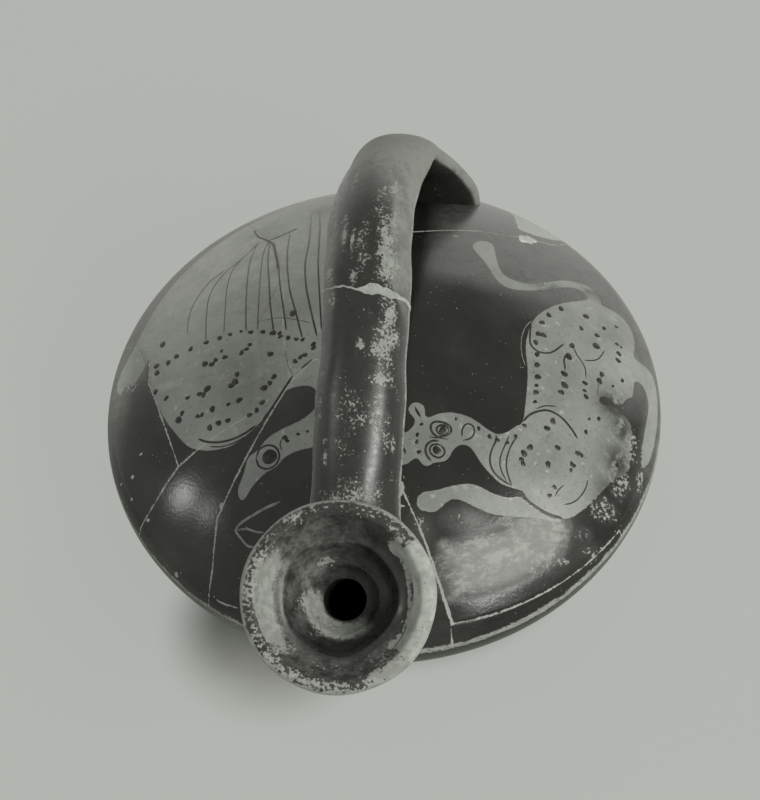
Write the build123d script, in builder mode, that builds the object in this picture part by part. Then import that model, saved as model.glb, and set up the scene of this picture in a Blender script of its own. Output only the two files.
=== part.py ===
import math
import os
from build123d import *

os.makedirs("parts", exist_ok=True)

# A small mended pouring vessel. Sizes in mm, Z up, spout towards -Y, base on Z 0.

# body: a domed top over a dish with a rounded shoulder and a straight lower wall
BODY_RADIUS = 46.0
BASE_RADIUS = 33.0
WIDEST_HEIGHT = 16.5
ARRIS_RISE = 0.3
LOWER_ROUND = 9.4
DOME_RISE = 21.5
SHOULDER_RADIUS = 5.0
WALL = 3.6
FLOOR = 4.0

# spout: measured along its axis, down from the plane of the lip
SPOUT_TILT = 62.0
MOUTH_X = -1.1
MOUTH_Y = -50.0
MOUTH_HEIGHT = 42.0
MOUTH_RADIUS = 14.7
LIP_ROUND = 1.1
LIP_DEPTH = 2.6
LIP_SLOPE = 0.4
LIP_WALL = 2.4
BOWL_CURVE = 9.0
STEP_RADIUS = 9.1
STEP_DEPTH = 4.2
STEP_LEDGE = 0.6
FUNNEL_RADIUS = 5.4
FUNNEL_DEPTH = 10.0
FUNNEL_CURVE = 14.0
BORE_RADIUS = 3.3
BORE_DEPTH = 12.6
WAIST_RADIUS = 7.4
WAIST_DEPTH = 14.5
ROOT_RADIUS = 8.0
ROOT_DEPTH = 22.0

# pale fill in the lip, as a sector of the mouth
RIM_FILL_FROM = -38.0
RIM_FILL_TO = 40.0
RIM_FILL_WIDTH = 3.5

# strap handle
STRAP_WIDTH = 13.4
STRAP_BACK_WIDTH = 11.9
STRAP_THICKNESS = 5.6
STRAP_FOOT_WIDTH = 20.0
STRAP_FOOT_THICKNESS = 7.0
STRAP_ROOT_WIDTH = 13.8
STRAP_ROOT_THICKNESS = 6.4
HANDLE_TOP = 62.5
HANDLE_APEX_Y = 3.0
HANDLE_BACK_INSET = 14.4
HANDLE_BACK_DROP = 13.0
HANDLE_BACK_SHIFT = 1.0
HANDLE_FOOT_SHIFT = 3.0
HANDLE_FOOT_INSET = 4.6
HANDLE_END_INSET = 4.4
HANDLE_END_DROP = 1.5
MEND_Y = -8.2
MEND_NARROW = 0.5
MEND_WIDE = 2.2

# breaks of the body, as shares of the body radius in plan, so they keep their place on it
EDGE_BREAK_RISE = 2.9
LEFT_TOP = (-0.85, 0.10)
LEFT_MID = (-0.83, -0.06)
LEFT_FORK = (-0.67, -0.42)
INNER_A = (-0.60, -0.375)
INNER_B = (-0.42, -0.28)
WING_FORK = (-0.29, -0.175)
WING_LOW = (-0.34, 0.02)
WING_MID = (-0.365, 0.26)
WING_TOP = (-0.40, 0.38)
REAR_FORK = (-0.475, 0.565)
REAR_LEFT = (-0.54, 0.68)
REAR_A = (-0.375, 0.60)
REAR_B = (0.07, 0.565)
REAR_C = (0.31, 0.64)
REAR_D = (0.565, 0.69)
REAR_RIGHT = (0.625, 0.755)
NECK_A = (-0.21, -0.085)
NECK_B = (-0.08, -0.20)
NECK_C = (0.113, -0.51)
FRONT_A = (-0.385, -0.36)
FRONT_B = (-0.51, -0.615)
FRONT_C = (-0.515, -0.765)
RIGHT_A = (0.217, -0.683)
RIGHT_B = (0.325, -0.90)
OUT_LEFT = (-1.2, 0.35)
OUT_LEFT_LOW = (-0.95, -0.76)
OUT_FRONT_LEFT = (-0.56, -1.10)
OUT_FRONT = (-0.10, -1.30)
OUT_FRONT_RIGHT = (0.34, -1.15)
OUT_RIGHT_LOW = (1.02, -1.02)
OUT_RIGHT = (1.40, 0.10)
OUT_REAR_RIGHT = (0.86, 1.02)
OUT_REAR = (0.0, 1.40)
OUT_REAR_LEFT = (-0.76, 1.02)
OUT_WING = (-1.25, 0.80)
OUT_FLANK = (-1.35, -0.25)
EDGE_NEAR = (0.15, -0.70)
EDGE_FAR = (0.70, -0.37)
OUT_EDGE_FAR = (1.20, -0.64)
OUT_EDGE_NEAR = (0.15, -1.20)
PATCH_CENTRE = (0.475, 0.665)
PATCH_RADIUS = 1.7

# worked out from the sizes above
ARRIS_HEIGHT = WIDEST_HEIGHT + ARRIS_RISE
LOWER_CENTRE = (BODY_RADIUS - LOWER_ROUND, WIDEST_HEIGHT)
BASE_INSET = LOWER_CENTRE[0] - BASE_RADIUS
LOWER_TURN = math.pi - math.atan2(WIDEST_HEIGHT, BASE_INSET) - math.acos(
    LOWER_ROUND / math.hypot(WIDEST_HEIGHT, BASE_INSET)
)
LOWER_ANGLE = math.degrees(LOWER_TURN)
INNER_ROUND = LOWER_ROUND - WALL
INNER_DROP = WIDEST_HEIGHT - INNER_ROUND * math.sin(LOWER_TURN) - FLOOR
FLOOR_RADIUS = LOWER_CENTRE[0] + INNER_ROUND * math.cos(LOWER_TURN) - INNER_DROP * math.tan(LOWER_TURN)
SHOULDER_CENTRE = (BODY_RADIUS - SHOULDER_RADIUS, WIDEST_HEIGHT)
DOME_RADIUS = (BODY_RADIUS**2 + DOME_RISE**2 - 2 * BODY_RADIUS * SHOULDER_RADIUS) / (
    2 * (DOME_RISE - SHOULDER_RADIUS)
)
DOME_CENTRE = (0, WIDEST_HEIGHT + DOME_RISE - DOME_RADIUS)
SHOULDER_ANGLE = math.degrees(math.atan2(DOME_RADIUS - DOME_RISE, SHOULDER_CENTRE[0]))
BOWL_RADIUS = MOUTH_RADIUS - LIP_WALL
NECK_LENGTH = ROOT_DEPTH + ROOT_RADIUS
RIM_FILL_RADIUS = MOUTH_RADIUS - RIM_FILL_WIDTH
TILT = math.radians(SPOUT_TILT)
SPOUT_DIRECTION = Vector(0, -math.cos(TILT), math.sin(TILT))
MOUTH_CENTRE = Vector(MOUTH_X, MOUTH_Y, MOUTH_HEIGHT)
SPOUT_AXIS = Axis(MOUTH_CENTRE, SPOUT_DIRECTION)
SPOUT_SECTION = Plane(MOUTH_CENTRE, x_dir=(1, 0, 0), z_dir=(0, -SPOUT_DIRECTION.Z, SPOUT_DIRECTION.Y))
MOUTH_FACE = Plane(MOUTH_CENTRE, x_dir=(1, 0, 0), z_dir=SPOUT_DIRECTION)
HEIGHT_OVER_ALL = HANDLE_TOP + STRAP_THICKNESS

# body as one full solid, used to trim what sits on it
with BuildPart() as body_form:
    with BuildSketch(Plane.XZ):
        with BuildLine():
            under = CenterArc(LOWER_CENTRE, LOWER_ROUND, -LOWER_ANGLE, LOWER_ANGLE)
            CenterArc(SHOULDER_CENTRE, SHOULDER_RADIUS, 0, SHOULDER_ANGLE)
            CenterArc(DOME_CENTRE, DOME_RADIUS, SHOULDER_ANGLE, 90 - SHOULDER_ANGLE)
            Polyline((0, WIDEST_HEIGHT + DOME_RISE), (0, 0), (BASE_RADIUS, 0), under @ 0)
        make_face()
    revolve(axis=Axis.Z)

# hollow inside, the same outline less the wall, with a flat floor
with BuildPart() as cavity_form:
    with BuildSketch(Plane.XZ):
        with BuildLine():
            inner = CenterArc(LOWER_CENTRE, INNER_ROUND, -LOWER_ANGLE, LOWER_ANGLE)
            CenterArc(SHOULDER_CENTRE, SHOULDER_RADIUS - WALL, 0, SHOULDER_ANGLE)
            CenterArc(DOME_CENTRE, DOME_RADIUS - WALL, SHOULDER_ANGLE, 90 - SHOULDER_ANGLE)
            Polyline(
                (0, WIDEST_HEIGHT + DOME_RISE - WALL),
                (0, FLOOR),
                (FLOOR_RADIUS, FLOOR),
                inner @ 0,
            )
        make_face()
    revolve(axis=Axis.Z)

# bottom of the vessel, floor and lower wall up to the arris
with BuildPart() as lower_dish:
    add(body_form.part)
    add(cavity_form.part, mode=Mode.SUBTRACT)
    split(bisect_by=Plane.XY.offset(ARRIS_HEIGHT), keep=Keep.BOTTOM)
lower_dish.part.label = "lower_dish"
export_step(lower_dish.part, "parts/lower_dish.step")

# top of the vessel as it left the wheel, with the hole that the spout pours through
with BuildPart() as dome_shell:
    add(body_form.part)
    add(cavity_form.part, mode=Mode.SUBTRACT)
    split(bisect_by=Plane.XY.offset(ARRIS_HEIGHT), keep=Keep.TOP)
    with BuildSketch(MOUTH_FACE):
        Circle(BORE_RADIUS)
    extrude(amount=-NECK_LENGTH, mode=Mode.SUBTRACT)

# round plug of fill in the rear break, upright through the wall
with BuildPart() as patch_form:
    with BuildSketch(Plane.XY):
        with Locations((PATCH_CENTRE[0] * BODY_RADIUS, PATCH_CENTRE[1] * BODY_RADIUS)):
            RegularPolygon(PATCH_RADIUS, 7)
    extrude(amount=HEIGHT_OVER_ALL)

# band of the right shoulder that broke off as a strip of its own
with BuildPart() as edge_form:
    with BuildSketch(Plane.XY):
        with BuildLine():
            Polyline(
                *[
                    (x * BODY_RADIUS, y * BODY_RADIUS)
                    for x, y in (EDGE_NEAR, EDGE_FAR, OUT_EDGE_FAR, OUT_RIGHT_LOW, OUT_EDGE_NEAR)
                ],
                close=True,
            )
        make_face()
    extrude(amount=ARRIS_HEIGHT + EDGE_BREAK_RISE)

# each sherd is the shell inside one upright outline; neighbours share the same break points
with BuildPart() as left_flank_sherd:
    with BuildSketch(Plane.XY):
        with BuildLine():
            Polyline(
                *[
                    (x * BODY_RADIUS, y * BODY_RADIUS)
                    for x, y in (OUT_LEFT, LEFT_TOP, LEFT_MID, LEFT_FORK, OUT_LEFT_LOW, OUT_FLANK)
                ],
                close=True,
            )
        make_face()
    extrude(amount=HEIGHT_OVER_ALL)
    add(dome_shell.part, mode=Mode.INTERSECT)
left_flank_sherd.part.label = "left_flank_sherd"
export_step(left_flank_sherd.part, "parts/left_flank_sherd.step")

with BuildPart() as left_front_sherd:
    with BuildSketch(Plane.XY):
        with BuildLine():
            Polyline(
                *[
                    (x * BODY_RADIUS, y * BODY_RADIUS)
                    for x, y in (
                        OUT_LEFT_LOW, LEFT_FORK, INNER_A, INNER_B, WING_FORK,
                        FRONT_A, FRONT_B, FRONT_C, OUT_FRONT_LEFT,
                    )
                ],
                close=True,
            )
        make_face()
    extrude(amount=HEIGHT_OVER_ALL)
    add(dome_shell.part, mode=Mode.INTERSECT)
left_front_sherd.part.label = "left_front_sherd"
export_step(left_front_sherd.part, "parts/left_front_sherd.step")

with BuildPart() as left_wing_sherd:
    with BuildSketch(Plane.XY):
        with BuildLine():
            Polyline(
                *[
                    (x * BODY_RADIUS, y * BODY_RADIUS)
                    for x, y in (
                        OUT_LEFT, LEFT_TOP, LEFT_MID, LEFT_FORK, INNER_A, INNER_B, WING_FORK,
                        WING_LOW, WING_MID, WING_TOP, REAR_FORK, REAR_LEFT, OUT_REAR_LEFT, OUT_WING,
                    )
                ],
                close=True,
            )
        make_face()
    extrude(amount=HEIGHT_OVER_ALL)
    add(dome_shell.part, mode=Mode.INTERSECT)
left_wing_sherd.part.label = "left_wing_sherd"
export_step(left_wing_sherd.part, "parts/left_wing_sherd.step")

with BuildPart() as rear_sherd:
    with BuildSketch(Plane.XY):
        with BuildLine():
            Polyline(
                *[
                    (x * BODY_RADIUS, y * BODY_RADIUS)
                    for x, y in (
                        OUT_REAR_LEFT, REAR_LEFT, REAR_FORK, REAR_A, REAR_B, REAR_C,
                        REAR_D, REAR_RIGHT, OUT_REAR_RIGHT, OUT_REAR,
                    )
                ],
                close=True,
            )
        make_face()
    extrude(amount=HEIGHT_OVER_ALL)
    add(dome_shell.part, mode=Mode.INTERSECT)
    add(patch_form.part, mode=Mode.SUBTRACT)
rear_sherd.part.label = "rear_sherd"
export_step(rear_sherd.part, "parts/rear_sherd.step")

with BuildPart() as right_form:
    with BuildSketch(Plane.XY):
        with BuildLine():
            Polyline(
                *[
                    (x * BODY_RADIUS, y * BODY_RADIUS)
                    for x, y in (
                        REAR_FORK, REAR_A, REAR_B, REAR_C, REAR_D, REAR_RIGHT, OUT_REAR_RIGHT,
                        OUT_RIGHT, OUT_RIGHT_LOW, OUT_FRONT_RIGHT, RIGHT_B, RIGHT_A, NECK_C,
                        NECK_B, NECK_A, WING_FORK, WING_LOW, WING_MID, WING_TOP,
                    )
                ],
                close=True,
            )
        make_face()
    extrude(amount=HEIGHT_OVER_ALL)
    add(dome_shell.part, mode=Mode.INTERSECT)

with BuildPart() as right_main_sherd:
    add(right_form.part)
    add(edge_form.part, mode=Mode.SUBTRACT)
    add(patch_form.part, mode=Mode.SUBTRACT)
right_main_sherd.part.label = "right_main_sherd"
export_step(right_main_sherd.part, "parts/right_main_sherd.step")

with BuildPart() as front_sherd:
    with BuildSketch(Plane.XY):
        with BuildLine():
            Polyline(
                *[
                    (x * BODY_RADIUS, y * BODY_RADIUS)
                    for x, y in (
                        OUT_FRONT_LEFT, FRONT_C, FRONT_B, FRONT_A, WING_FORK, NECK_A, NECK_B,
                        NECK_C, RIGHT_A, RIGHT_B, OUT_FRONT_RIGHT, OUT_FRONT,
                    )
                ],
                close=True,
            )
        make_face()
    extrude(amount=HEIGHT_OVER_ALL)
    add(dome_shell.part, mode=Mode.INTERSECT)
front_sherd.part.label = "front_sherd"
export_step(front_sherd.part, "parts/front_sherd.step")

with BuildPart() as right_edge_sherd:
    add(right_form.part)
    add(edge_form.part, mode=Mode.INTERSECT)
right_edge_sherd.part.label = "right_edge_sherd"
export_step(right_edge_sherd.part, "parts/right_edge_sherd.step")

with BuildPart() as rear_patch:
    add(dome_shell.part)
    add(patch_form.part, mode=Mode.INTERSECT)
rear_patch.part.label = "rear_patch"
export_step(rear_patch.part, "parts/rear_patch.step")

# outside of the spout as a full solid, used to trim the handle
with BuildPart() as spout_form:
    with BuildSketch(SPOUT_SECTION):
        with BuildLine():
            Polyline((0, 0), (MOUTH_RADIUS - LIP_ROUND, 0))
            RadiusArc((MOUTH_RADIUS - LIP_ROUND, 0), (MOUTH_RADIUS, -LIP_ROUND), LIP_ROUND)
            Line((MOUTH_RADIUS, -LIP_ROUND), (MOUTH_RADIUS - LIP_SLOPE, -LIP_DEPTH))
            Spline(
                (MOUTH_RADIUS - LIP_SLOPE, -LIP_DEPTH),
                (WAIST_RADIUS, -WAIST_DEPTH),
                (ROOT_RADIUS, -ROOT_DEPTH),
                tangents=((-1, -0.9), (0.15, -1)),
            )
            Polyline((ROOT_RADIUS, -ROOT_DEPTH), (ROOT_RADIUS, -NECK_LENGTH), (0, -NECK_LENGTH), (0, 0))
        make_face()
    revolve(axis=SPOUT_AXIS)

# funnel and bore taken out of the spout
with BuildPart() as funnel_form:
    with BuildSketch(SPOUT_SECTION):
        with BuildLine():
            Polyline((0, 0), (BOWL_RADIUS, 0))
            RadiusArc((BOWL_RADIUS, 0), (STEP_RADIUS, -STEP_DEPTH), -BOWL_CURVE)
            Polyline(
                (STEP_RADIUS, -STEP_DEPTH),
                (STEP_RADIUS - STEP_LEDGE, -STEP_DEPTH),
                (STEP_RADIUS - STEP_LEDGE, -STEP_DEPTH - STEP_LEDGE),
            )
            RadiusArc(
                (STEP_RADIUS - STEP_LEDGE, -STEP_DEPTH - STEP_LEDGE),
                (FUNNEL_RADIUS, -FUNNEL_DEPTH),
                FUNNEL_CURVE,
            )
            Polyline(
                (FUNNEL_RADIUS, -FUNNEL_DEPTH),
                (BORE_RADIUS, -BORE_DEPTH),
                (BORE_RADIUS, -NECK_LENGTH),
                (0, -NECK_LENGTH),
                (0, 0),
            )
        make_face()
    revolve(axis=SPOUT_AXIS)

# sector of the lip that the mender restored
with BuildPart() as rim_form:
    with BuildSketch(MOUTH_FACE.offset(LIP_ROUND)):
        with BuildLine():
            Line(
                PolarLocations(RIM_FILL_RADIUS, 1, RIM_FILL_FROM).locations[0].position,
                PolarLocations(MOUTH_RADIUS * 1.5, 1, RIM_FILL_FROM).locations[0].position,
            )
            CenterArc((0, 0), MOUTH_RADIUS * 1.5, RIM_FILL_FROM, RIM_FILL_TO - RIM_FILL_FROM)
            CenterArc((0, 0), RIM_FILL_RADIUS, RIM_FILL_FROM, RIM_FILL_TO - RIM_FILL_FROM)
            Line(
                PolarLocations(RIM_FILL_RADIUS, 1, RIM_FILL_TO).locations[0].position,
                PolarLocations(MOUTH_RADIUS * 1.5, 1, RIM_FILL_TO).locations[0].position,
            )
        make_face()
    extrude(amount=-WAIST_DEPTH)

# spout, seated on the outside of the dome
with BuildPart() as spout:
    add(spout_form.part)
    add(funnel_form.part, mode=Mode.SUBTRACT)
    add(body_form.part, mode=Mode.SUBTRACT)
    add(rim_form.part, mode=Mode.SUBTRACT)
spout.part.label = "spout"
export_step(spout.part, "parts/spout.step")

with BuildPart() as rim_fill:
    add(spout_form.part)
    add(funnel_form.part, mode=Mode.SUBTRACT)
    add(rim_form.part, mode=Mode.INTERSECT)
rim_fill.part.label = "rim_fill"
export_step(rim_fill.part, "parts/rim_fill.step")

# centre line of the strap: out of the back of the spout, over the dome, down and a little right on the rear shoulder
MOUTH_BACK = Vector(0, math.sin(TILT), math.cos(TILT))
MOUTH_MIDDLE = Vector(0, MOUTH_Y, MOUTH_HEIGHT)
STRAP_START = MOUTH_MIDDLE + MOUTH_BACK * (MOUTH_RADIUS * 0.6) - SPOUT_DIRECTION * (STRAP_THICKNESS)
STRAP_RISE = MOUTH_MIDDLE + MOUTH_BACK * (MOUTH_RADIUS + LIP_DEPTH) - SPOUT_DIRECTION * (LIP_DEPTH + LIP_ROUND)
STRAP_APEX = Vector(0, HANDLE_APEX_Y, HANDLE_TOP - STRAP_THICKNESS / 2)
STRAP_BACK = Vector(HANDLE_BACK_SHIFT, BODY_RADIUS - HANDLE_BACK_INSET, STRAP_APEX.Z - HANDLE_BACK_DROP)
STRAP_FOOT = Vector(HANDLE_FOOT_SHIFT, BODY_RADIUS - HANDLE_FOOT_INSET, WIDEST_HEIGHT + SHOULDER_RADIUS)
STRAP_END = Vector(HANDLE_FOOT_SHIFT, BODY_RADIUS - HANDLE_END_INSET, WIDEST_HEIGHT - HANDLE_END_DROP)

with BuildLine() as strap_line:
    Spline(STRAP_START, STRAP_RISE, STRAP_APEX, STRAP_BACK, STRAP_FOOT, STRAP_END)

# strap as one bar of even steps, widened where it was pressed on at both ends
STRAP_MIDDLE_WIDTH = (STRAP_WIDTH + STRAP_BACK_WIDTH) / 2
STRAP_FLARE_WIDTH = (STRAP_BACK_WIDTH + STRAP_FOOT_WIDTH) / 2
STRAP_STEPS = (
    (STRAP_ROOT_WIDTH, STRAP_ROOT_THICKNESS),
    (STRAP_ROOT_WIDTH, STRAP_ROOT_THICKNESS),
    (STRAP_ROOT_WIDTH, STRAP_THICKNESS),
    (STRAP_WIDTH, STRAP_THICKNESS),
    (STRAP_WIDTH, STRAP_THICKNESS),
    (STRAP_WIDTH, STRAP_THICKNESS),
    (STRAP_WIDTH, STRAP_THICKNESS),
    (STRAP_MIDDLE_WIDTH, STRAP_THICKNESS),
    (STRAP_MIDDLE_WIDTH, STRAP_THICKNESS),
    (STRAP_BACK_WIDTH, STRAP_THICKNESS),
    (STRAP_BACK_WIDTH, STRAP_THICKNESS),
    (STRAP_FLARE_WIDTH, STRAP_THICKNESS),
    (STRAP_FOOT_WIDTH, STRAP_FOOT_THICKNESS),
    (STRAP_FOOT_WIDTH, STRAP_FOOT_THICKNESS),
)
with BuildPart() as strap_form:
    for step, (wide, thick) in enumerate(STRAP_STEPS):
        along = step / (len(STRAP_STEPS) - 1)
        with BuildSketch(Plane(strap_line.line @ along, x_dir=(1, 0, 0), z_dir=strap_line.line % along)):
            Ellipse(wide / 2, thick / 2)
    loft()

# wedge of the break, narrow on the left and wide on the right
with BuildPart() as mend_form:
    with BuildSketch(Plane.XY):
        with BuildLine():
            Polyline(
                (-STRAP_WIDTH, MEND_Y - MEND_NARROW / 2),
                (STRAP_WIDTH, MEND_Y - MEND_WIDE / 2),
                (STRAP_WIDTH, MEND_Y + MEND_WIDE / 2),
                (-STRAP_WIDTH, MEND_Y + MEND_NARROW / 2),
                close=True,
            )
        make_face()
    extrude(amount=HEIGHT_OVER_ALL)

with BuildPart() as handle_front:
    add(strap_form.part)
    add(spout_form.part, mode=Mode.SUBTRACT)
    add(mend_form.part, mode=Mode.SUBTRACT)
    split(bisect_by=Plane.XZ.offset(-MEND_Y), keep=Keep.TOP)
handle_front.part.label = "handle_front"
export_step(handle_front.part, "parts/handle_front.step")

with BuildPart() as handle_rear:
    add(strap_form.part)
    add(body_form.part, mode=Mode.SUBTRACT)
    add(mend_form.part, mode=Mode.SUBTRACT)
    split(bisect_by=Plane.XZ.offset(-MEND_Y), keep=Keep.BOTTOM)
handle_rear.part.label = "handle_rear"
export_step(handle_rear.part, "parts/handle_rear.step")

with BuildPart() as handle_fill:
    add(strap_form.part)
    add(mend_form.part, mode=Mode.INTERSECT)
handle_fill.part.label = "handle_fill"
export_step(handle_fill.part, "parts/handle_fill.step")
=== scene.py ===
import math

import bpy
import numpy as np
from mathutils import Matrix


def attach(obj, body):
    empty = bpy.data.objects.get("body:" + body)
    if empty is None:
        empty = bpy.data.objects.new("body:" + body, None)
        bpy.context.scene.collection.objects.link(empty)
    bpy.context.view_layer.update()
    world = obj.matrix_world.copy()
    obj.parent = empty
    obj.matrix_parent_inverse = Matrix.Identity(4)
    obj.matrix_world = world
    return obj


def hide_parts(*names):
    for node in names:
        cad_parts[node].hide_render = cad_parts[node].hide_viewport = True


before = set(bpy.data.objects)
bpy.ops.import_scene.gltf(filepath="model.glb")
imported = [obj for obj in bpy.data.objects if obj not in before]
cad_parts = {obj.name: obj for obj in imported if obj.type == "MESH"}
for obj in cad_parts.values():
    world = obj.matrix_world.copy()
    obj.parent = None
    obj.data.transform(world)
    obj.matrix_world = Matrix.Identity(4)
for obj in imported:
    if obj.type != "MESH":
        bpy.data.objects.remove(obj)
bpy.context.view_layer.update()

# Lower dish: the thrown bottom of the vessel, fired clay under a black gloss slip.
# It was turned on the wheel, so every section is round, and it ends at the arris where the top was joined.
MM = 0.001
BODY_RADIUS = 46.0
BASE_RADIUS = 33.0
BASE_ROUND = 0.8
WIDEST = 16.5
ARRIS_RISE = 0.3
ARRIS = WIDEST + ARRIS_RISE
LOWER_ROUND = 9.4
LOWER_MIDDLE = BODY_RADIUS - LOWER_ROUND
SHOULDER = 5.0
SHOULDER_MIDDLE = BODY_RADIUS - SHOULDER
WALL = 3.6
FLOOR = 4.0
DISH_TURNS = 288
FULL_TURN = 2 * math.pi
HUB_RADIUS = 1.0


def arc(middle, radius, start, end, count):
    """Points of a circle: its middle plus the radius times cosine and sine of even angles in degrees."""
    turn = np.radians(np.linspace(start, end, count))
    return np.stack([middle[0] + radius * np.cos(turn), middle[1] + radius * np.sin(turn)], 1)


def turned(outline, turns):
    """Wheel surface: each outline point (radius, height) carried round the upright axis."""
    turn = np.linspace(0, FULL_TURN, turns, endpoint=False)
    radius = outline[:, 0][:, None]
    height = np.repeat(outline[:, 1][:, None], turns, 1)
    return np.stack([radius * np.cos(turn), radius * np.sin(turn), height], -1)


def quads(numbers):
    """Four cornered faces between neighbouring rows and columns of a grid of point numbers."""
    corners = [numbers[:-1, :-1], numbers[:-1, 1:], numbers[1:, 1:], numbers[1:, :-1]]
    return np.stack(corners, -1).reshape(-1, 4)



def fan(ring, hub):
    """Three cornered faces from each step of a closed ring of point numbers to one hub point."""
    return np.stack([ring, np.roll(ring, -1), np.full_like(ring, hub)], 1)


def round_faces(rows, columns, first=0):
    """Faces of a grid whose last column joins its first."""
    numbers = first + np.arange(rows * columns).reshape(rows, columns)
    return numbers, quads(np.column_stack([numbers, numbers[:, :1]]))


def capped(grid, hubs, first=0):
    """Closed surface: a grid whose columns join round, each of its two ends fanned to a hub point."""
    numbers, sides = round_faces(*grid.shape[:2], first)
    hub = first + numbers.size
    faces = [sides, fan(numbers[0], hub)[:, ::-1], fan(numbers[-1], hub + 1)]
    return np.concatenate([grid.reshape(-1, 3), hubs]), faces


def enclosed(points, faces):
    """Signed volume inside closed faces: a sixth of the triple products of each fanned triangle."""
    total = 0.0
    for group in faces:
        for third in range(2, group.shape[1]):
            a, b, c = points[group[:, 0]], points[group[:, third - 1]], points[group[:, third]]
            total += np.einsum("ij,ij->i", a, np.cross(b, c)).sum() / 6
    return total


def make_piece(name, points, faces, marks, material, slot, crease=40):
    """One closed mesh from points in mm; faces are turned so that the enclosed volume is positive."""
    if enclosed(points, faces) < 0:
        faces = [group[:, ::-1] for group in faces]
    mesh = bpy.data.meshes.new(name)
    mesh.from_pydata((points * MM).tolist(), [], [face for group in faces for face in group.tolist()])
    for title, values in marks.items():
        layer = mesh.attributes.new(title, "FLOAT", "POINT")
        layer.data.foreach_set("value", np.asarray(values, np.float32))
    mesh.shade_smooth()
    mesh.set_sharp_from_angle(angle=math.radians(crease))
    mesh.materials.append(material)
    made = bpy.data.objects.new(name, mesh)
    bpy.context.scene.collection.objects.link(made)
    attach(made, "root")
    return made


def add_node(tree, kind, sockets=None, **settings):
    """A shader node with its settings, its sockets either linked or set to a constant."""
    made = tree.nodes.new(kind)
    for setting, value in settings.items():
        setattr(made, setting, value)
    for socket, value in (sockets or {}).items():
        if isinstance(value, bpy.types.NodeSocket):
            tree.links.new(value, made.inputs[socket])
        else:
            made.inputs[socket].default_value = value
    return made


def maths(tree, operation, a, b):
    """One value from two others, by an operation of the Math node."""
    return add_node(tree, "ShaderNodeMath", {0: a, 1: b}, operation=operation).outputs[0]


def plus(tree, a, b):
    """Sum of two values."""
    return maths(tree, "ADD", a, b)


def less(tree, a, b):
    """The first value less the second."""
    return maths(tree, "SUBTRACT", a, b)


def times(tree, a, b):
    """Product of two values."""
    return maths(tree, "MULTIPLY", a, b)


def most(tree, a, b):
    """The larger of two values."""
    return maths(tree, "MAXIMUM", a, b)


def step(tree, value, low, high):
    """0 below low, 1 above high, and a soft step between them."""
    sockets = {"Value": value, "From Min": low, "From Max": high}
    return add_node(tree, "ShaderNodeMapRange", sockets, interpolation_type="SMOOTHSTEP").outputs["Result"]


def blend(tree, share, a, b):
    """Colour a where share is 0, colour b where it is 1."""
    return add_node(tree, "ShaderNodeMix", {0: share, 6: a, 7: b}, data_type="RGBA").outputs[2]


def grain(tree, place, scale, detail=3.0, rough=0.6):
    """Cloudy noise from 0 to 1; the scale is in clouds per metre."""
    sockets = {"Vector": place, "Scale": scale, "Detail": detail, "Roughness": rough}
    return add_node(tree, "ShaderNodeTexNoise", sockets).outputs["Fac"]


FLAKE_CLOUD = 0.17
PIN_HOLE = 1.3
RUBBED_GAIN = 0.30
LEAST_FILM = 0.35
HAZE = 0.05


def lost_gloss_group():
    """Where the slip has flaked: fine specks that gather in clouds, more of them as Rubbed grows.
    Flakes are bare spots; the dull grey film lies round them and wherever the film input asks for it,
    which is real dust in places and painted sheen and reflection in others.
    The scales of the clouds and of the pin holes are shares of Grain."""
    group = bpy.data.node_groups.new("lost_gloss", "ShaderNodeTree")
    group.interface.new_socket("Place", in_out="INPUT", socket_type="NodeSocketVector")
    for socket in ("Rubbed", "Dust_and_sheen", "Grain"):
        group.interface.new_socket(socket, in_out="INPUT", socket_type="NodeSocketFloat")
    for socket in ("Flakes", "Dull_film_and_sheen"):
        group.interface.new_socket(socket, in_out="OUTPUT", socket_type="NodeSocketFloat")
    source = add_node(group, "NodeGroupInput")
    place, rubbed, dust_and_sheen, size = (source.outputs[name] for name in ("Place", "Rubbed", "Dust_and_sheen", "Grain"))
    fine = grain(group, place, size, 4.0, 0.55)
    cloud = grain(group, place, times(group, size, FLAKE_CLOUD), 3.0, 0.6)
    pin = grain(group, place, times(group, size, PIN_HOLE), 1.0, 0.5)
    mixed = plus(group, times(group, fine, 0.6), times(group, cloud, 0.4))
    raised = plus(group, mixed, times(group, rubbed, RUBBED_GAIN))
    flakes = most(group, step(group, raised, 0.648, 0.69), step(group, pin, 0.765, 0.79))
    film = times(group, step(group, rubbed, 0.0, 1.0), step(group, mixed, 0.34, 0.60))
    mottle = step(group, grain(group, place, 260.0, 9.0, 0.80), 0.30, 0.66)
    mottle = plus(group, times(group, mottle, 1 - LEAST_FILM), LEAST_FILM)
    haze = times(group, step(group, grain(group, place, 50.0, 5.0, 0.68), 0.44, 0.72), HAZE)
    # dull grey film: real dust, and painted sheen and reflection wherever the film input carries it
    dust_and_sheen_film = most(group, times(group, dust_and_sheen, mottle), times(group, film, 0.6))
    add_node(group, "NodeGroupOutput", {"Flakes": flakes, "Dull_film_and_sheen": plus(group, dust_and_sheen_film, haze)})
    return group


LOST_GLOSS = lost_gloss_group()
GLOSS_BLACK = (0.0094, 0.0096, 0.0076, 1)
GLOSS_THIN = (0.019, 0.0192, 0.0155, 1)
BARE_CLAY = (0.38, 0.394, 0.368, 1)
DUST_AND_SHEEN_GREY = (0.30, 0.311, 0.288, 1)
GLOSS_ROUGHNESS = 0.12
GLOSS_IOR = 1.62
PLAIN_IOR = 1.5
DULL_GAIN = 0.40
SKIN_BUMP, SKIN_DEPTH = 0.5, 0.00006


def mark(tree, name):
    """A value stored on the piece's own points."""
    return add_node(tree, "ShaderNodeAttribute", attribute_name=name).outputs["Fac"]


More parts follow.
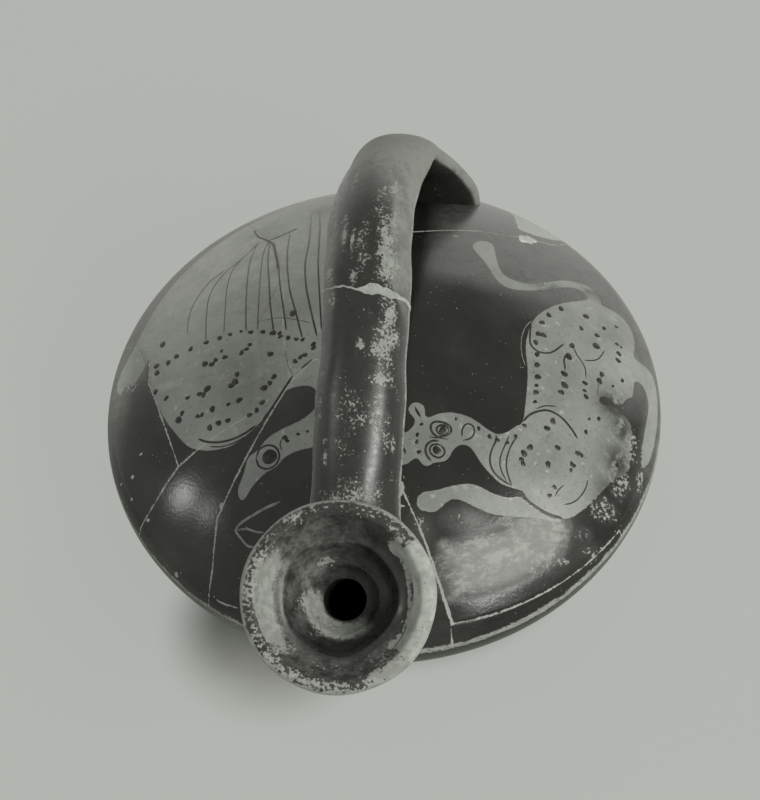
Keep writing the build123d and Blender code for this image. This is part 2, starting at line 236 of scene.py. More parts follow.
def new_material(name):
    """An empty material, its node tree, and the piece's own coordinates for its patterns."""
    made = bpy.data.materials.new(name)
    made.use_nodes = True
    tree = made.node_tree
    tree.nodes.clear()
    return made, tree, add_node(tree, "ShaderNodeTexCoord").outputs["Object"]


def lost_gloss(tree, place, rubbed, dust_and_sheen, speck):
    """Flakes and dull grey film of a material, from the shared group; the speck is in flakes per metre.
    The film is real dust, and painted sheen where the marks ask for it.
    """
    sockets = {"Place": place, "Rubbed": rubbed, "Dust_and_sheen": dust_and_sheen, "Grain": speck}
    worn = add_node(tree, "ShaderNodeGroup", sockets, node_tree=LOST_GLOSS)
    return worn.outputs["Flakes"], worn.outputs["Dull_film_and_sheen"]


def surface(tree, colour, rough, relief, strength, depth, ior=PLAIN_IOR):
    """The visible surface of a material: one Principled shader with a bump from its relief."""
    bump = add_node(tree, "ShaderNodeBump", {"Strength": strength, "Distance": depth, "Height": relief})
    sockets = {"Base Color": colour, "Roughness": rough, "IOR": ior, "Normal": bump.outputs["Normal"]}
    shader = add_node(tree, "ShaderNodeBsdfPrincipled", sockets)
    add_node(tree, "ShaderNodeOutputMaterial", {"Surface": shader.outputs[0]})


def black_gloss(name, speck, roughness=GLOSS_ROUGHNESS, patchy=0.0):
    """Black gloss slip: cloudy black, flaked to bare clay where rubbed says, and dull grey where the film mark
    says;
    that grey is real dust in places and painted sheen and reflection in others.
    Patchy is the share of the dull film that comes in blotches."""
    made, tree, place = new_material(name)
    blotch = times(tree, step(tree, grain(tree, place, 480.0, 8.0, 0.78), 0.38, 0.62), 2 * patchy)
    film = times(tree, mark(tree, "dust_and_sheen"), plus(tree, blotch, 1 - patchy))
    flakes, dust_and_sheen_film = lost_gloss(tree, place, mark(tree, "rubbed"), film, speck)
    cloud = grain(tree, place, 120.0, 4.0, 0.6)
    fine = grain(tree, place, 900.0, 4.0, 0.6)
    slip = blend(tree, step(tree, cloud, 0.42, 0.66), GLOSS_BLACK, GLOSS_THIN)
    # painted sheen: the slip is drawn dull grey where the film mark carries a reflection, besides real dust
    slip = blend(tree, dust_and_sheen_film, slip, DUST_AND_SHEEN_GREY)
    bare = blend(tree, step(tree, grain(tree, place, 800.0), 0.40, 0.60), DUST_AND_SHEEN_GREY, BARE_CLAY)
    rough = plus(tree, times(tree, most(tree, dust_and_sheen_film, flakes), DULL_GAIN), roughness)
    rough = plus(tree, rough, times(tree, cloud, 0.12))
    rough = plus(tree, rough, times(tree, less(tree, fine, 0.5), 0.35))
    relief = less(tree, times(tree, fine, 0.5), flakes)
    surface(tree, blend(tree, flakes, slip, bare), rough, relief, SKIN_BUMP, SKIN_DEPTH, GLOSS_IOR)
    return made


def soft_step(values, low, high):
    """0 below low, 1 above high, and a soft step between them, for whole arrays."""
    share = np.clip((values - low) / (high - low), 0, 1)
    return share**2 * (3 - 2 * share)


lower_turn = math.pi - math.atan2(WIDEST, LOWER_MIDDLE - BASE_RADIUS) - math.acos(
    LOWER_ROUND / math.hypot(WIDEST, LOWER_MIDDLE - BASE_RADIUS)
)
lower_angle = math.degrees(lower_turn)
arris_angle = math.degrees(math.asin(ARRIS_RISE / SHOULDER))
wall_slope = np.array([math.sin(lower_turn), math.cos(lower_turn)])
wall_foot = np.array([BASE_RADIUS, 0.0]) + BASE_ROUND * wall_slope
outer_curve = arc((LOWER_MIDDLE, WIDEST), LOWER_ROUND, -lower_angle, 0, 60)
inner_curve = arc((LOWER_MIDDLE, WIDEST), LOWER_ROUND - WALL, 0, -lower_angle, 40)
floor_edge = inner_curve[-1] - wall_slope * (inner_curve[-1, 1] - FLOOR) / wall_slope[1]
dish_outline = np.concatenate([
    np.stack([np.linspace(HUB_RADIUS, BASE_RADIUS - BASE_ROUND, 40), np.zeros(40)], 1),
    np.linspace(wall_foot, outer_curve[0], 40, endpoint=False),
    outer_curve,
    arc((SHOULDER_MIDDLE, WIDEST), SHOULDER, 0, arris_angle, 4)[1:],
    arc((SHOULDER_MIDDLE, WIDEST), SHOULDER - WALL, arris_angle, 0, 4)[:-1],
    inner_curve,
    np.linspace(inner_curve[-1], floor_edge, 20)[1:],
    np.stack([np.linspace(floor_edge[0], HUB_RADIUS, 24), np.full(24, FLOOR)], 1)[1:],
])
dish_points, dish_faces = capped(turned(dish_outline, DISH_TURNS), [[0, 0, 0], [0, 0, FLOOR]])
WORN_AZIMUTH = math.radians(50.0)
WORN_SIDE = np.array([math.sin(WORN_AZIMUTH), -math.cos(WORN_AZIMUTH)])
worn_side = soft_step(dish_points[:, :2] @ WORN_SIDE, 33.0, 43.0)
near_arris = soft_step(dish_points[:, 2], ARRIS - 0.9, ARRIS - 0.1) * (0.45 + 0.55 * worn_side)
near_base = soft_step(-dish_points[:, 2], -0.9, -0.1)
under_arris = soft_step(dish_points[:, 2], 8.0, 15.5)
# painted sheen below the arris, by azimuth in degrees: the dish's gloss drawn dull grey, most at the front
# left, where it would mirror the pale floor at grazing angles
PAINTED_DISH_SHEEN = [
    (-180, 0.3), (-115, 0.6), (-70, 0.9), (-25, 0.6), (15, 0.05), (40, 0.08),
    (62, 0.45), (110, 0.4), (180, 0.3),
]
dish_turn = np.degrees(np.arctan2(dish_points[:, 0], -dish_points[:, 1]))
painted_dish_sheen = np.interp(dish_turn, *np.array(PAINTED_DISH_SHEEN).T)
dish_marks = {
    "rubbed": 1.1 * near_arris + 1.2 * near_base - 0.12,
    "dust_and_sheen": under_arris * painted_dish_sheen,
}
DISH_GLOSS = black_gloss("dish_gloss", speck=1500.0)
dish = make_piece("turned_dish", dish_points, dish_faces, dish_marks, DISH_GLOSS, "black_gloss")
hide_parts("lower_dish")

# Domed top: thrown clay, broken long ago and glued again from seven sherds that meet edge to edge.
# Each sherd is drawn flat, as the dome unrolled in mm from its apex, and laid on the dome with its wall.
DOME_RISE = 21.5
DOME_CURVE = (BODY_RADIUS**2 + DOME_RISE**2 - 2 * BODY_RADIUS * SHOULDER) / (2 * (DOME_RISE - SHOULDER))
DOME_MIDDLE = WIDEST + DOME_RISE - DOME_CURVE
SHOULDER_TURN = math.atan2(DOME_CURVE - DOME_RISE, SHOULDER_MIDDLE)
DOME_RUN = DOME_CURVE * (math.pi / 2 - SHOULDER_TURN)
ARRIS_RUN = DOME_RUN + SHOULDER * (SHOULDER_TURN - math.asin(ARRIS_RISE / SHOULDER))
EDGE_RISE = 3.2
EDGE_RUN = DOME_RUN + SHOULDER * (SHOULDER_TURN - math.asin(EDGE_RISE / SHOULDER))
GROOVE = 0.07
GROOVE_WIDTH = 0.1
WIDE_CRACK = 0.14
FAR = 9.0
FIGURE_REACH = 2.0
SHERD_STEP = 0.42


def on_dome(flat, depth=0.0):
    """Place of an unrolled point: its distance from the apex runs down the dome and the shoulder arc,
    its direction is the azimuth, and depth goes in along the normal of the arc."""
    run = np.hypot(flat[..., 0], flat[..., 1])
    on_top = run < DOME_RUN
    turn = np.where(on_top, math.pi / 2 - run / DOME_CURVE, SHOULDER_TURN - (run - DOME_RUN) / SHOULDER)
    curve = np.where(on_top, DOME_CURVE, SHOULDER) - depth
    radius = np.where(on_top, 0.0, SHOULDER_MIDDLE) + curve * np.cos(turn)
    height = np.where(on_top, DOME_MIDDLE, WIDEST) + curve * np.sin(turn)
    away = flat / np.maximum(run, 1e-9)[..., None]
    return np.concatenate([away * radius[..., None], height[..., None]], -1)


def unrolled(plan):
    """Unrolled place of a point seen from above: arc length from the apex out to its radius."""
    radius = np.hypot(plan[..., 0], plan[..., 1])
    top = DOME_CURVE * np.arcsin(np.minimum(radius, BODY_RADIUS) / DOME_CURVE)
    lean = np.arccos(np.clip((radius - SHOULDER_MIDDLE) / SHOULDER, 0, 1))
    run = np.where(top < DOME_RUN, top, DOME_RUN + SHOULDER * (SHOULDER_TURN - lean))
    return plan * (run / np.maximum(radius, 1e-9))[..., None]


def break_line(*shares):
    """A break through points given as shares of the body radius, straight when seen from above."""
    corners = np.array(shares) * BODY_RADIUS
    runs = [np.linspace(a, b, 40, endpoint=False) for a, b in zip(corners[:-1], corners[1:])]
    return unrolled(np.concatenate(runs + [corners[-1:]]))


def rim_share(inner, outer):
    """Where a break that runs on from inner towards outer meets the widest circle."""
    a, b = np.array(inner), np.array(outer)
    along = np.linspace(0, 1, 2001)[:, None]
    line = a + along * (b - a)
    return line[np.argmax(np.hypot(line[:, 0], line[:, 1]) >= 0.9995)]


def to_rim(inner, outer):
    """The last stretch of a break: out to the widest circle, then straight down to the arris."""
    edge = rim_share(inner, outer)
    return np.concatenate([break_line(inner, edge), [ARRIS_RUN * edge / np.hypot(*edge)]])


def rim_arc(start, end):
    """Along the arris between two azimuths in degrees."""
    return arc((0, 0), ARRIS_RUN, start, end, 160)


def azimuth(line):
    """Direction of a line's last point, in degrees."""
    return math.degrees(math.atan2(line[-1][1], line[-1][0])) % 360


def spread(length, spacing):
    """Shares from 0 to 1 along a side, crowded at both ends so that a rounded edge has points enough."""
    close = np.array([0, 0.07, 0.15, 0.25, 0.4]) / length
    inner = np.linspace(0.6 / length, 1 - 0.6 / length, max(4, int(length / spacing)))
    return np.concatenate([close, inner, 1 - close[::-1]])


def run_along(line):
    """Length run along a line up to each of its points."""
    return np.concatenate([[0], np.cumsum(np.hypot(*np.diff(line, axis=0).T))])


def resampled(line, shares):
    """Points at shares of the length of a line."""
    run = run_along(line)
    return np.stack([np.interp(shares * run[-1], run, line[:, axis]) for axis in (0, 1)], 1)


def line_length(line):
    """Length of a line through its points."""
    return np.hypot(*np.diff(line, axis=0).T).sum()


def four_sided(bottom, top, left, right):
    """Grid inside four sides: the two ruled surfaces between opposite sides, less the bilinear one."""
    u = spread(max(line_length(bottom), line_length(top)), SHERD_STEP)
    v = spread(max(line_length(left), line_length(right)), SHERD_STEP)
    low, high = resampled(bottom, u)[None], resampled(top, u)[None]
    near, far = resampled(left, v)[:, None], resampled(right, v)[:, None]
    u, v = u[None, :, None], v[:, None, None]
    corners = (
        (1 - u) * (1 - v) * bottom[0] + u * (1 - v) * bottom[-1] + (1 - u) * v * top[0] + u * v * top[-1]
    )
    return (1 - v) * low + v * high + (1 - u) * near + u * far - corners


def gap_to(flat, line):
    """Distance from each point to the nearest place on an open line."""
    nearest = np.full(len(flat), FAR)
    for a, b in zip(line[:-1], line[1:]):
        side = b - a
        along = np.clip((flat - a) @ side / max(side @ side, 1e-12), 0, 1)
        nearest = np.minimum(nearest, np.hypot(*(flat - a - along[:, None] * side).T))
    return nearest


def inside_gap(flat, outline):
    """Distance to a closed outline, positive inside it by the even and odd rule."""
    nearest = gap_to(flat, np.concatenate([outline, outline[:1]]))
    inside = np.zeros(len(flat), bool)
    for a, b in zip(outline, np.roll(outline, -1, 0)):
        between = (a[1] > flat[:, 1]) != (b[1] > flat[:, 1])
        rise = b[1] - a[1] if b[1] != a[1] else 1.0
        inside ^= between & (flat[:, 0] < a[0] + (b[0] - a[0]) * (flat[:, 1] - a[1]) / rise)
    return np.where(inside, nearest, -nearest)


def curve_through(points, closed=False, pieces=8):
    """Smooth curve through given points: a cubic on each span.
    Its slope at a point is half the step between the point's neighbours."""
    knots = np.array(points, float)
    if closed:
        before, starts, ends, beyond = (np.roll(knots, shift, 0) for shift in (1, 0, -1, -2))
    else:
        padded = np.concatenate([[2 * knots[0] - knots[1]], knots, [2 * knots[-1] - knots[-2]]])
        before, starts, ends, beyond = padded[:-3], padded[1:-2], padded[2:-1], padded[3:]
    t = np.linspace(0, 1, pieces, endpoint=False)[None, :, None]
    p0, p1, p2, p3 = (p[:, None, :] for p in (before, starts, ends, beyond))
    spans = p1 + 0.5 * t * (p2 - p0 + t * (2 * p0 - 5 * p1 + 4 * p2 - p3 + t * (3 * (p1 - p2) + p3 - p0)))
    dense = spans.reshape(-1, 2)
    return dense if closed else np.concatenate([dense, knots[-1:]])


# the painter's reserved figures, as outlines in mm on the unrolled dome
FELINE_BODY = [
    (5.0, -16.6), (6.0, -16.2), (6.8, -15.4), (7.2, -14.5), (7.0, -13.7), (6.3, -13.0), (6.0, -12.2),
    (6.5, -11.3), (7.3, -11.0), (8.2, -11.3), (8.6, -12.1), (8.8, -13.2), (9.6, -13.2), (11.0, -12.4),
    (13.0, -11.9), (15.5, -12.1), (17.5, -12.9), (19.0, -13.7), (20.7, -14.1), (22.2, -13.4),
    (23.5, -12.1), (24.6, -11.0), (24.8, -8.0), (24.8, -3.0), (24.5, 0.0), (24.1, 2.5), (24.1, 5.0),
    (24.6, 8.0), (25.8, 11.0), (28.0, 14.0), (30.6, 16.5), (33.0, 18.4), (34.6, 19.8), (36.0, 21.2),
    (38.4, 20.6), (40.8, 20.6), (42.8, 19.8), (44.4, 17.6), (44.9, 14.6), (44.6, 11.6), (45.4, 10.7),
    (47.6, 10.3), (49.4, 8.8), (50.4, 5.0), (50.6, 0.0), (50.2, -5.0), (49.4, -9.0), (48.2, -11.0),
    (47.2, -10.6), (46.0, -11.0), (44.4, -13.8), (42.0, -16.0), (40.4, -18.2), (38.2, -21.3),
    (36.4, -23.4), (34.2, -25.1), (31.5, -25.3), (28.8, -24.7), (26.8, -23.8), (25.6, -22.6),
    (23.9, -22.4), (22.0, -22.1), (20.0, -20.8), (18.4, -19.4), (17.0, -17.7), (15.9, -17.0),
    (14.6, -17.2), (13.7, -18.2), (13.2, -19.4), (12.4, -20.2), (10.8, -20.7), (9.9, -21.3),
    (9.0, -21.1), (8.2, -20.3), (7.5, -20.5), (6.6, -21.3), (5.4, -21.6), (4.6, -20.8), (4.4, -18.8),
]
FELINE_NOTCH = [
    (45.0, 5.4), (46.3, 5.7), (47.6, 4.2), (48.2, 1.6), (48.0, -1.2), (47.6, -4.5), (47.3, -8.0),
    (47.4, -12.4), (45.4, -12.4), (44.9, -8.5), (44.8, -5.0), (43.8, -3.4), (41.8, -2.6), (40.2, -2.3),
    (38.8, -2.8), (37.9, -2.3), (38.4, -1.2), (39.7, -0.9), (41.0, -1.5), (42.4, -1.0), (43.2, 0.4),
    (44.5, 1.8), (44.7, 3.6),
]
FELINE_TAIL = [
    (13.7, 25.0), (14.4, 26.8), (15.7, 27.5), (17.0, 27.1), (17.5, 25.5), (17.9, 23.0), (18.6, 20.2),
    (19.6, 18.5), (21.4, 17.9), (23.4, 18.0), (25.4, 19.0), (27.6, 20.7), (30.0, 22.6), (32.6, 23.9),
    (35.0, 24.5), (36.6, 23.9), (37.4, 22.2), (37.8, 20.4), (35.6, 20.0), (34.6, 21.6), (32.6, 21.9),
    (30.4, 20.8), (28.0, 19.0), (25.4, 17.2), (23.0, 16.0), (20.8, 15.5), (19.0, 16.1), (17.5, 18.1),
    (16.0, 21.0), (14.5, 23.1),
]
FELINE_PAW = [
    (33.0, -25.5), (31.5, -25.7), (28.0, -24.9), (25.6, -23.7), (23.6, -24.2), (21.0, -24.0),
    (18.6, -23.3), (16.6, -23.2), (14.0, -24.0), (11.6, -25.0), (9.8, -25.5), (8.7, -26.6), (8.9, -27.8),
    (10.4, -28.6), (11.9, -28.3), (13.0, -27.2), (14.2, -26.1), (16.0, -26.0), (18.6, -26.8),
    (21.4, -27.3), (25.0, -27.0), (28.6, -26.4), (31.6, -26.2), (33.2, -25.9),
]
BIRD_BODY = [
    (-41.6, 3.0), (-41.0, -1.0), (-40.2, -4.2),
    (-38.6, -7.4), (-36.2, -11.4), (-33.4, -14.9), (-31.0, -17.3), (-28.0, -18.5), (-25.0, -18.7),
    (-22.4, -18.2), (-19.8, -16.5), (-17.6, -14.4), (-15.6, -11.3), (-14.0, -9.6), (-12.4, -9.0),
    (-10.6, -8.9), (-9.2, -9.6), (-8.7, -11.2), (-9.2, -13.2), (-11.2, -14.9), (-14.0, -16.2),
    (-16.4, -17.6), (-18.0, -19.5), (-19.6, -20.7), (-20.3, -23.2), (-21.2, -25.8), (-20.8, -27.3),
    (-20.0, -27.4), (-18.6, -25.4), (-16.6, -23.5), (-14.8, -22.5), (-13.2, -20.9), (-11.0, -19.9),
    (-8.6, -19.3), (-6.2, -17.6), (-4.6, -14.0), (-4.6, -9.6), (-6.0, -6.0), (-7.4, -3.0), (-7.2, 4.0),
    (-7.0, 14.0), (-7.6, 24.0), (-8.6, 34.0), (-9.8, 45.2), (-16.5, 43.8), (-24.4, 39.9), (-31.4, 34.7),
    (-37.6, 27.9), (-42.2, 20.2), (-45.2, 12.0), (-46.8, 7.0), (-48.6, 3.0),
    (-49.2, -0.5), (-47.8, -2.6), (-46.2, -0.6), (-44.8, -1.6), (-43.6, -0.4), (-42.6, 1.2),
]

# wear, dust and painted sheen in the same mm:
# soft ovals, each with its middle, half sizes and strength, and outlines of patches
RUBBED_PATCHES = [
    (30.0, -34.2, 5.0, 2.2, 0.62), (20.0, -38.6, 4.0, 1.8, 0.50), (17.0, -29.0, 3.8, 2.2, 0.36),
    (44.6, -9.0, 2.2, 4.4, 0.95), (43.6, -15.6, 2.6, 4.0, 0.9), (41.2, -21.6, 3.4, 2.6, 0.85),
    (38.0, -26.8, 2.6, 2.0, 0.62), (34.0, -32.0, 3.0, 1.6, 0.50),
    (-46.0, -1.5, 3.4, 3.0, 0.80), (-32.0, -27.0, 2.2, 2.2, 0.30), (14.0, -36.0, 1.6, 3.4, 0.62),
    (-12.2, -6.6, 1.6, 0.8, 0.8), (40.0, -29.0, 4.0, 3.0, 0.50), (9.0, -30.0, 2.2, 3.0, 0.45),
    (47.6, -13.0, 1.4, 5.0, 0.75), (26.0, 40.0, 4.0, 3.0, 0.35), (7.0, 39.0, 3.0, 2.0, 0.45),
]
# dull grey film ovals: real dust, and painted sheen on the left flank and along the right rim, where the gloss
# would mirror the pale surround
DUST_AND_SHEEN_PATCHES = [
    (-49.0, 1.0, 3.0, 9.0, 1.5), (-37.0, -35.0, 5.0, 5.0, 0.10), (-30.0, 22.0, 17.0, 19.0, 1.25),
    (-36.0, -4.8, 3.4, 1.0, 0.8), (-29.0, -4.0, 9.0, 8.0, 0.35), (43.0, 9.0, 5.0, 9.0, 0.65),
    (37.0, 15.0, 6.0, 4.0, 0.45), (17.0, -29.0, 4.0, 2.4, 0.42), (-32.0, -27.0, 1.8, 1.8, 0.10),
    (10.0, -31.0, 2.0, 3.0, 0.22),
]
SOILED_PATCHES = [
    (41.0, -2.0, 3.4, 2.6, 1.3), (42.6, -12.5, 2.4, 3.4, 1.2), (42.8, -5.6, 2.0, 3.0, 1.2),
    (41.0, -18.0, 2.6, 3.0, 0.8), (36.0, 23.0, 3.0, 2.0, 0.8), (27.0, 19.4, 5.0, 1.6, 0.8),
    (-24.0, 30.0, 5.0, 5.0, 0.4), (-13.0, 36.0, 5.0, 4.0, 0.4), (-22.0, 14.0, 8.0, 9.0, 0.2),
    (39.0, 14.0, 5.0, 5.0, 0.2), (30.0, -14.0, 4.0, 5.0, 0.15), (-24.0, -6.0, 6.0, 5.0, 0.3),
]
CHIPS = [
    (-24.2, -28.4, 0.35, 0.8, 1.0), (-41.1, -16.5, 0.34, 0.3, 1.0), (-42.9, -20.2, 0.5, 0.5, 0.9),
    (-45.8, -20.7, 0.4, 0.4, 0.9), (-43.0, -24.2, 0.5, 0.4, 0.9), (-39.1, -28.6, 0.45, 0.4, 0.9),
    (-33.6, -38.7, 0.5, 0.7, 1.0), (5.9, -25.3, 0.6, 1.4, 1.0), (6.2, -28.1, 0.8, 0.2, 1.0),
    (-18.3, 14.6, 0.7, 1.2, 0.9), (22.4, 33.6, 0.5, 0.9, 1.0), (10.6, 27.2, 0.7, 0.3, 0.9),
]
# worn patch at the front right: real worn film and pale veins, with the key lamp's highlight painted into them
WORN_AND_HIGHLIGHT_PATCH = [
    (13.0, -33.4), (17.0, -31.8), (21.6, -29.2), (25.4, -26.4), (32.0, -24.0), (34.6, -25.6), (34.6, -28.2),
    (34.2, -31.0), (32.0, -33.4), (29.0, -36.2), (26.0, -38.2), (22.0, -40.2), (17.8, -41.6), (14.8, -41.6),
    (13.4, -39.0),
]
# share of grey film in that patch, part wear and part painted highlight
WORN_AND_HIGHLIGHT_FILM = 0.20
STREAK_TURN = math.radians(21.0)
STREAK_SIZE = (1.5, 0.85, 1.0)
# places in the worn patch left dark and grainy, without the pale veins and painted highlight
GRAINY_BLOB = [
    (16.8, -28.8, 4.6, 2.5, 0.80), (13.6, -39.5, 2.6, 3.6, 0.7), (22.0, -24.0, 3.0, 1.6, 0.9),
    (21.5, -28.2, 3.0, 1.8, 0.7), (18.6, -41.6, 4.0, 1.6, 0.6),
]
# painted sheen: grey film on the shoulder round the rear half, where the gloss would mirror the pale surround
# at grazing angles, and on the rear right of the dome, where it would mirror the sheet behind
PAINTED_RIM_SHEEN = 0.60
PAINTED_REAR_SHEEN = 0.40
PLASTER_SMEAR = [
    (19.6, 48.6), (20.9, 43.2), (21.3, 39.6), (22.0, 36.6), (24.2, 35.9), (27.6, 36.8), (30.2, 38.8),
    (32.0, 41.6), (29.0, 45.0), (24.5, 47.6),
]


def soft_patches(flat, patches):
    """Share from 0 to 1: the largest of several soft ovals, each with its middle, half sizes and strength."""
    share = np.zeros(len(flat))
    for x, y, wide, deep, peak in patches:
        far = ((flat[:, 0] - x) / wide) ** 2 + ((flat[:, 1] - y) / deep) ** 2
        share = np.maximum(share, peak * np.exp(-far))
    return share


def bell(values, middle, width):
    """1 at the middle, falling off on both sides like a bell of the given half width."""
    return np.exp(-(((values - middle) / width) ** 2))


def figure_gap(flat):
    """Signed distance in mm to the reserved clay, positive inside the figures' outlines."""
    gap = np.full(len(flat), -FIGURE_REACH)
    for outline in (FELINE_BODY, FELINE_TAIL, FELINE_PAW, BIRD_BODY):
        gap = np.maximum(gap, inside_gap(flat, curve_through(outline, closed=True)))
    gap = np.minimum(gap, -inside_gap(flat, curve_through(FELINE_NOTCH, closed=True)))
    return np.clip(gap, -FIGURE_REACH, FIGURE_REACH)


def ragged(flat):
    """Uneven share from 0 to 1 along a break: three crossed waves of different lengths."""
    x, y = flat[:, 0], flat[:, 1]
    waves = np.sin(2.9 * x + 1.7 * y) + np.sin(1.3 * x - 3.7 * y + 1.0) + np.sin(6.1 * y + 4.3 * x + 2.0)
    return 0.5 + waves / 6


CLAY_DARK = (0.232, 0.242, 0.229, 1)
CLAY_PALE = (0.315, 0.328, 0.310, 1)
CLAY_FLECK = (0.10, 0.102, 0.088, 1)
CLAY_SMEAR = (0.42, 0.436, 0.412, 1)
CLAY_DUST_AND_SHEEN = (0.49, 0.509, 0.482, 1)
CLAY_SCUFF = (0.50, 0.52, 0.492, 1)
SOIL = (0.05, 0.051, 0.045, 1)
BREAK_PALE = (0.43, 0.446, 0.418, 1)
SMEAR_WHITE = (0.62, 0.645, 0.612, 1)
CLAY_ROUGHNESS = 0.42
BREAK_ROUGHNESS = 0.65


def painted_ware():
    """Sherd surface: reserved clay figures in a black gloss ground, pale along breaks and arris."""
    made, tree, place = new_material("painted_ware")
    rubbed = mark(tree, "rubbed")
    cloud = grain(tree, place, 110.0, 5.0, 0.62)
    fleck = grain(tree, place, 1900.0, 3.0, 0.6)
    smear = grain(tree, place, 330.0, 5.0, 0.7)
    flakes, dust_and_sheen_film = lost_gloss(tree, place, less(tree, rubbed, 0.20), mark(tree, "dust_and_sheen"), 1700.0)

    edge_wander = plus(tree, times(tree, rubbed, 3.0), 0.16)
    wander = times(tree, less(tree, grain(tree, place, 1400.0, 3.0), 0.5), edge_wander)
    figure = step(tree, plus(tree, mark(tree, "figure"), wander), -0.06, 0.06)

    slip = blend(tree, step(tree, cloud, 0.40, 0.68), GLOSS_BLACK, GLOSS_THIN)
    # dull grey film on the gloss: real dust, and painted sheen where the marks carry a reflection
    slip = blend(tree, dust_and_sheen_film, slip, DUST_AND_SHEEN_GREY)
    # worn patch: real worn film and pale veins, with the key lamp's highlight painted into them
    veins_and_highlight = mark(tree, "veins_and_highlight")
    sockets = {"Vector": place, "Rotation": (0, 0, STREAK_TURN), "Scale": STREAK_SIZE}
    streaked = add_node(tree, "ShaderNodeMapping", sockets, vector_type="TEXTURE").outputs["Vector"]
    clouds = grain(tree, streaked, 420.0, 8.0, 0.80)
    uneven_film = times(tree, less(tree, clouds, 0.45), 1.6)
    film = step(tree, plus(tree, veins_and_highlight, uneven_film), 0.30, 1.20)
    film = times(tree, film, step(tree, veins_and_highlight, 0.02, 0.30))
    slip = blend(tree, times(tree, film, 0.85), slip, DUST_AND_SHEEN_GREY)
    veins = times(tree, veins_and_highlight, step(tree, clouds, 0.50, 0.58))
    slip = blend(tree, times(tree, veins, 0.9), slip, BARE_CLAY)
    slip = blend(tree, flakes, slip, BARE_CLAY)

    clay = blend(tree, step(tree, cloud, 0.35, 0.68), CLAY_DARK, CLAY_PALE)
    clay = blend(tree, times(tree, step(tree, fleck, 0.56, 0.70), 0.5), clay, CLAY_FLECK)
    clay = blend(tree, times(tree, step(tree, smear, 0.44, 0.30), 0.6), clay, CLAY_SMEAR)
    # clay greyed by the same film: real dust, and painted sheen where the film marks carry it
    clay = blend(tree, dust_and_sheen_film, clay, CLAY_DUST_AND_SHEEN)
    scuff = step(tree, grain(tree, place, 620.0, 2.0, 0.5), 0.67, 0.72)
    clay = blend(tree, times(tree, scuff, 0.6), clay, CLAY_SCUFF)
    soil = step(tree, grain(tree, place, 480.0, 5.0, 0.7), 0.36, 0.52)
    clay = blend(tree, times(tree, mark(tree, "soiled"), soil), clay, SOIL)
    colour = blend(tree, figure, slip, clay)

    uneven = less(tree, plus(tree, times(tree, fleck, 0.5), times(tree, smear, 0.6)), 0.55)
    line = step(tree, plus(tree, mark(tree, "break_gap"), uneven), 0.17, 0.07)
    edge = step(tree, plus(tree, mark(tree, "arris_gap"), times(tree, uneven, 3.2)), 0.95, 0.60)
    grainy = plus(tree, times(tree, step(tree, fleck, 0.40, 0.54), 0.45), 0.55)
    broken = plus(tree, times(tree, uneven, 3.0), 1.0)
    chip = step(tree, times(tree, mark(tree, "chipped"), broken), 0.42, 0.56)
    pale = most(tree, most(tree, line, times(tree, edge, grainy)), chip)
    colour = blend(tree, pale, colour, BREAK_PALE)
    plaster = step(tree, plus(tree, mark(tree, "smeared"), times(tree, uneven, 2.0)), -0.15, 0.15)
    colour = blend(tree, plaster, colour, SMEAR_WHITE)

    rough = plus(tree, times(tree, most(tree, dust_and_sheen_film, flakes), DULL_GAIN), GLOSS_ROUGHNESS)
    rough = plus(tree, rough, times(tree, cloud, 0.10))
    rough = plus(tree, rough, times(tree, mark(tree, "dulled"), 0.30))
    for share, matt in ((figure, CLAY_ROUGHNESS), (most(tree, pale, plaster), BREAK_ROUGHNESS)):
        rough = add_node(tree, "ShaderNodeMix", {0: share, 2: rough, 3: matt}).outputs[0]
    relief = less(tree, less(tree, times(tree, fleck, 0.55), times(tree, figure, 0.5)), flakes)
    surface(tree, colour, rough, relief, SKIN_BUMP, SKIN_DEPTH, GLOSS_IOR)
    return made


PAINTED_WARE = painted_ware()


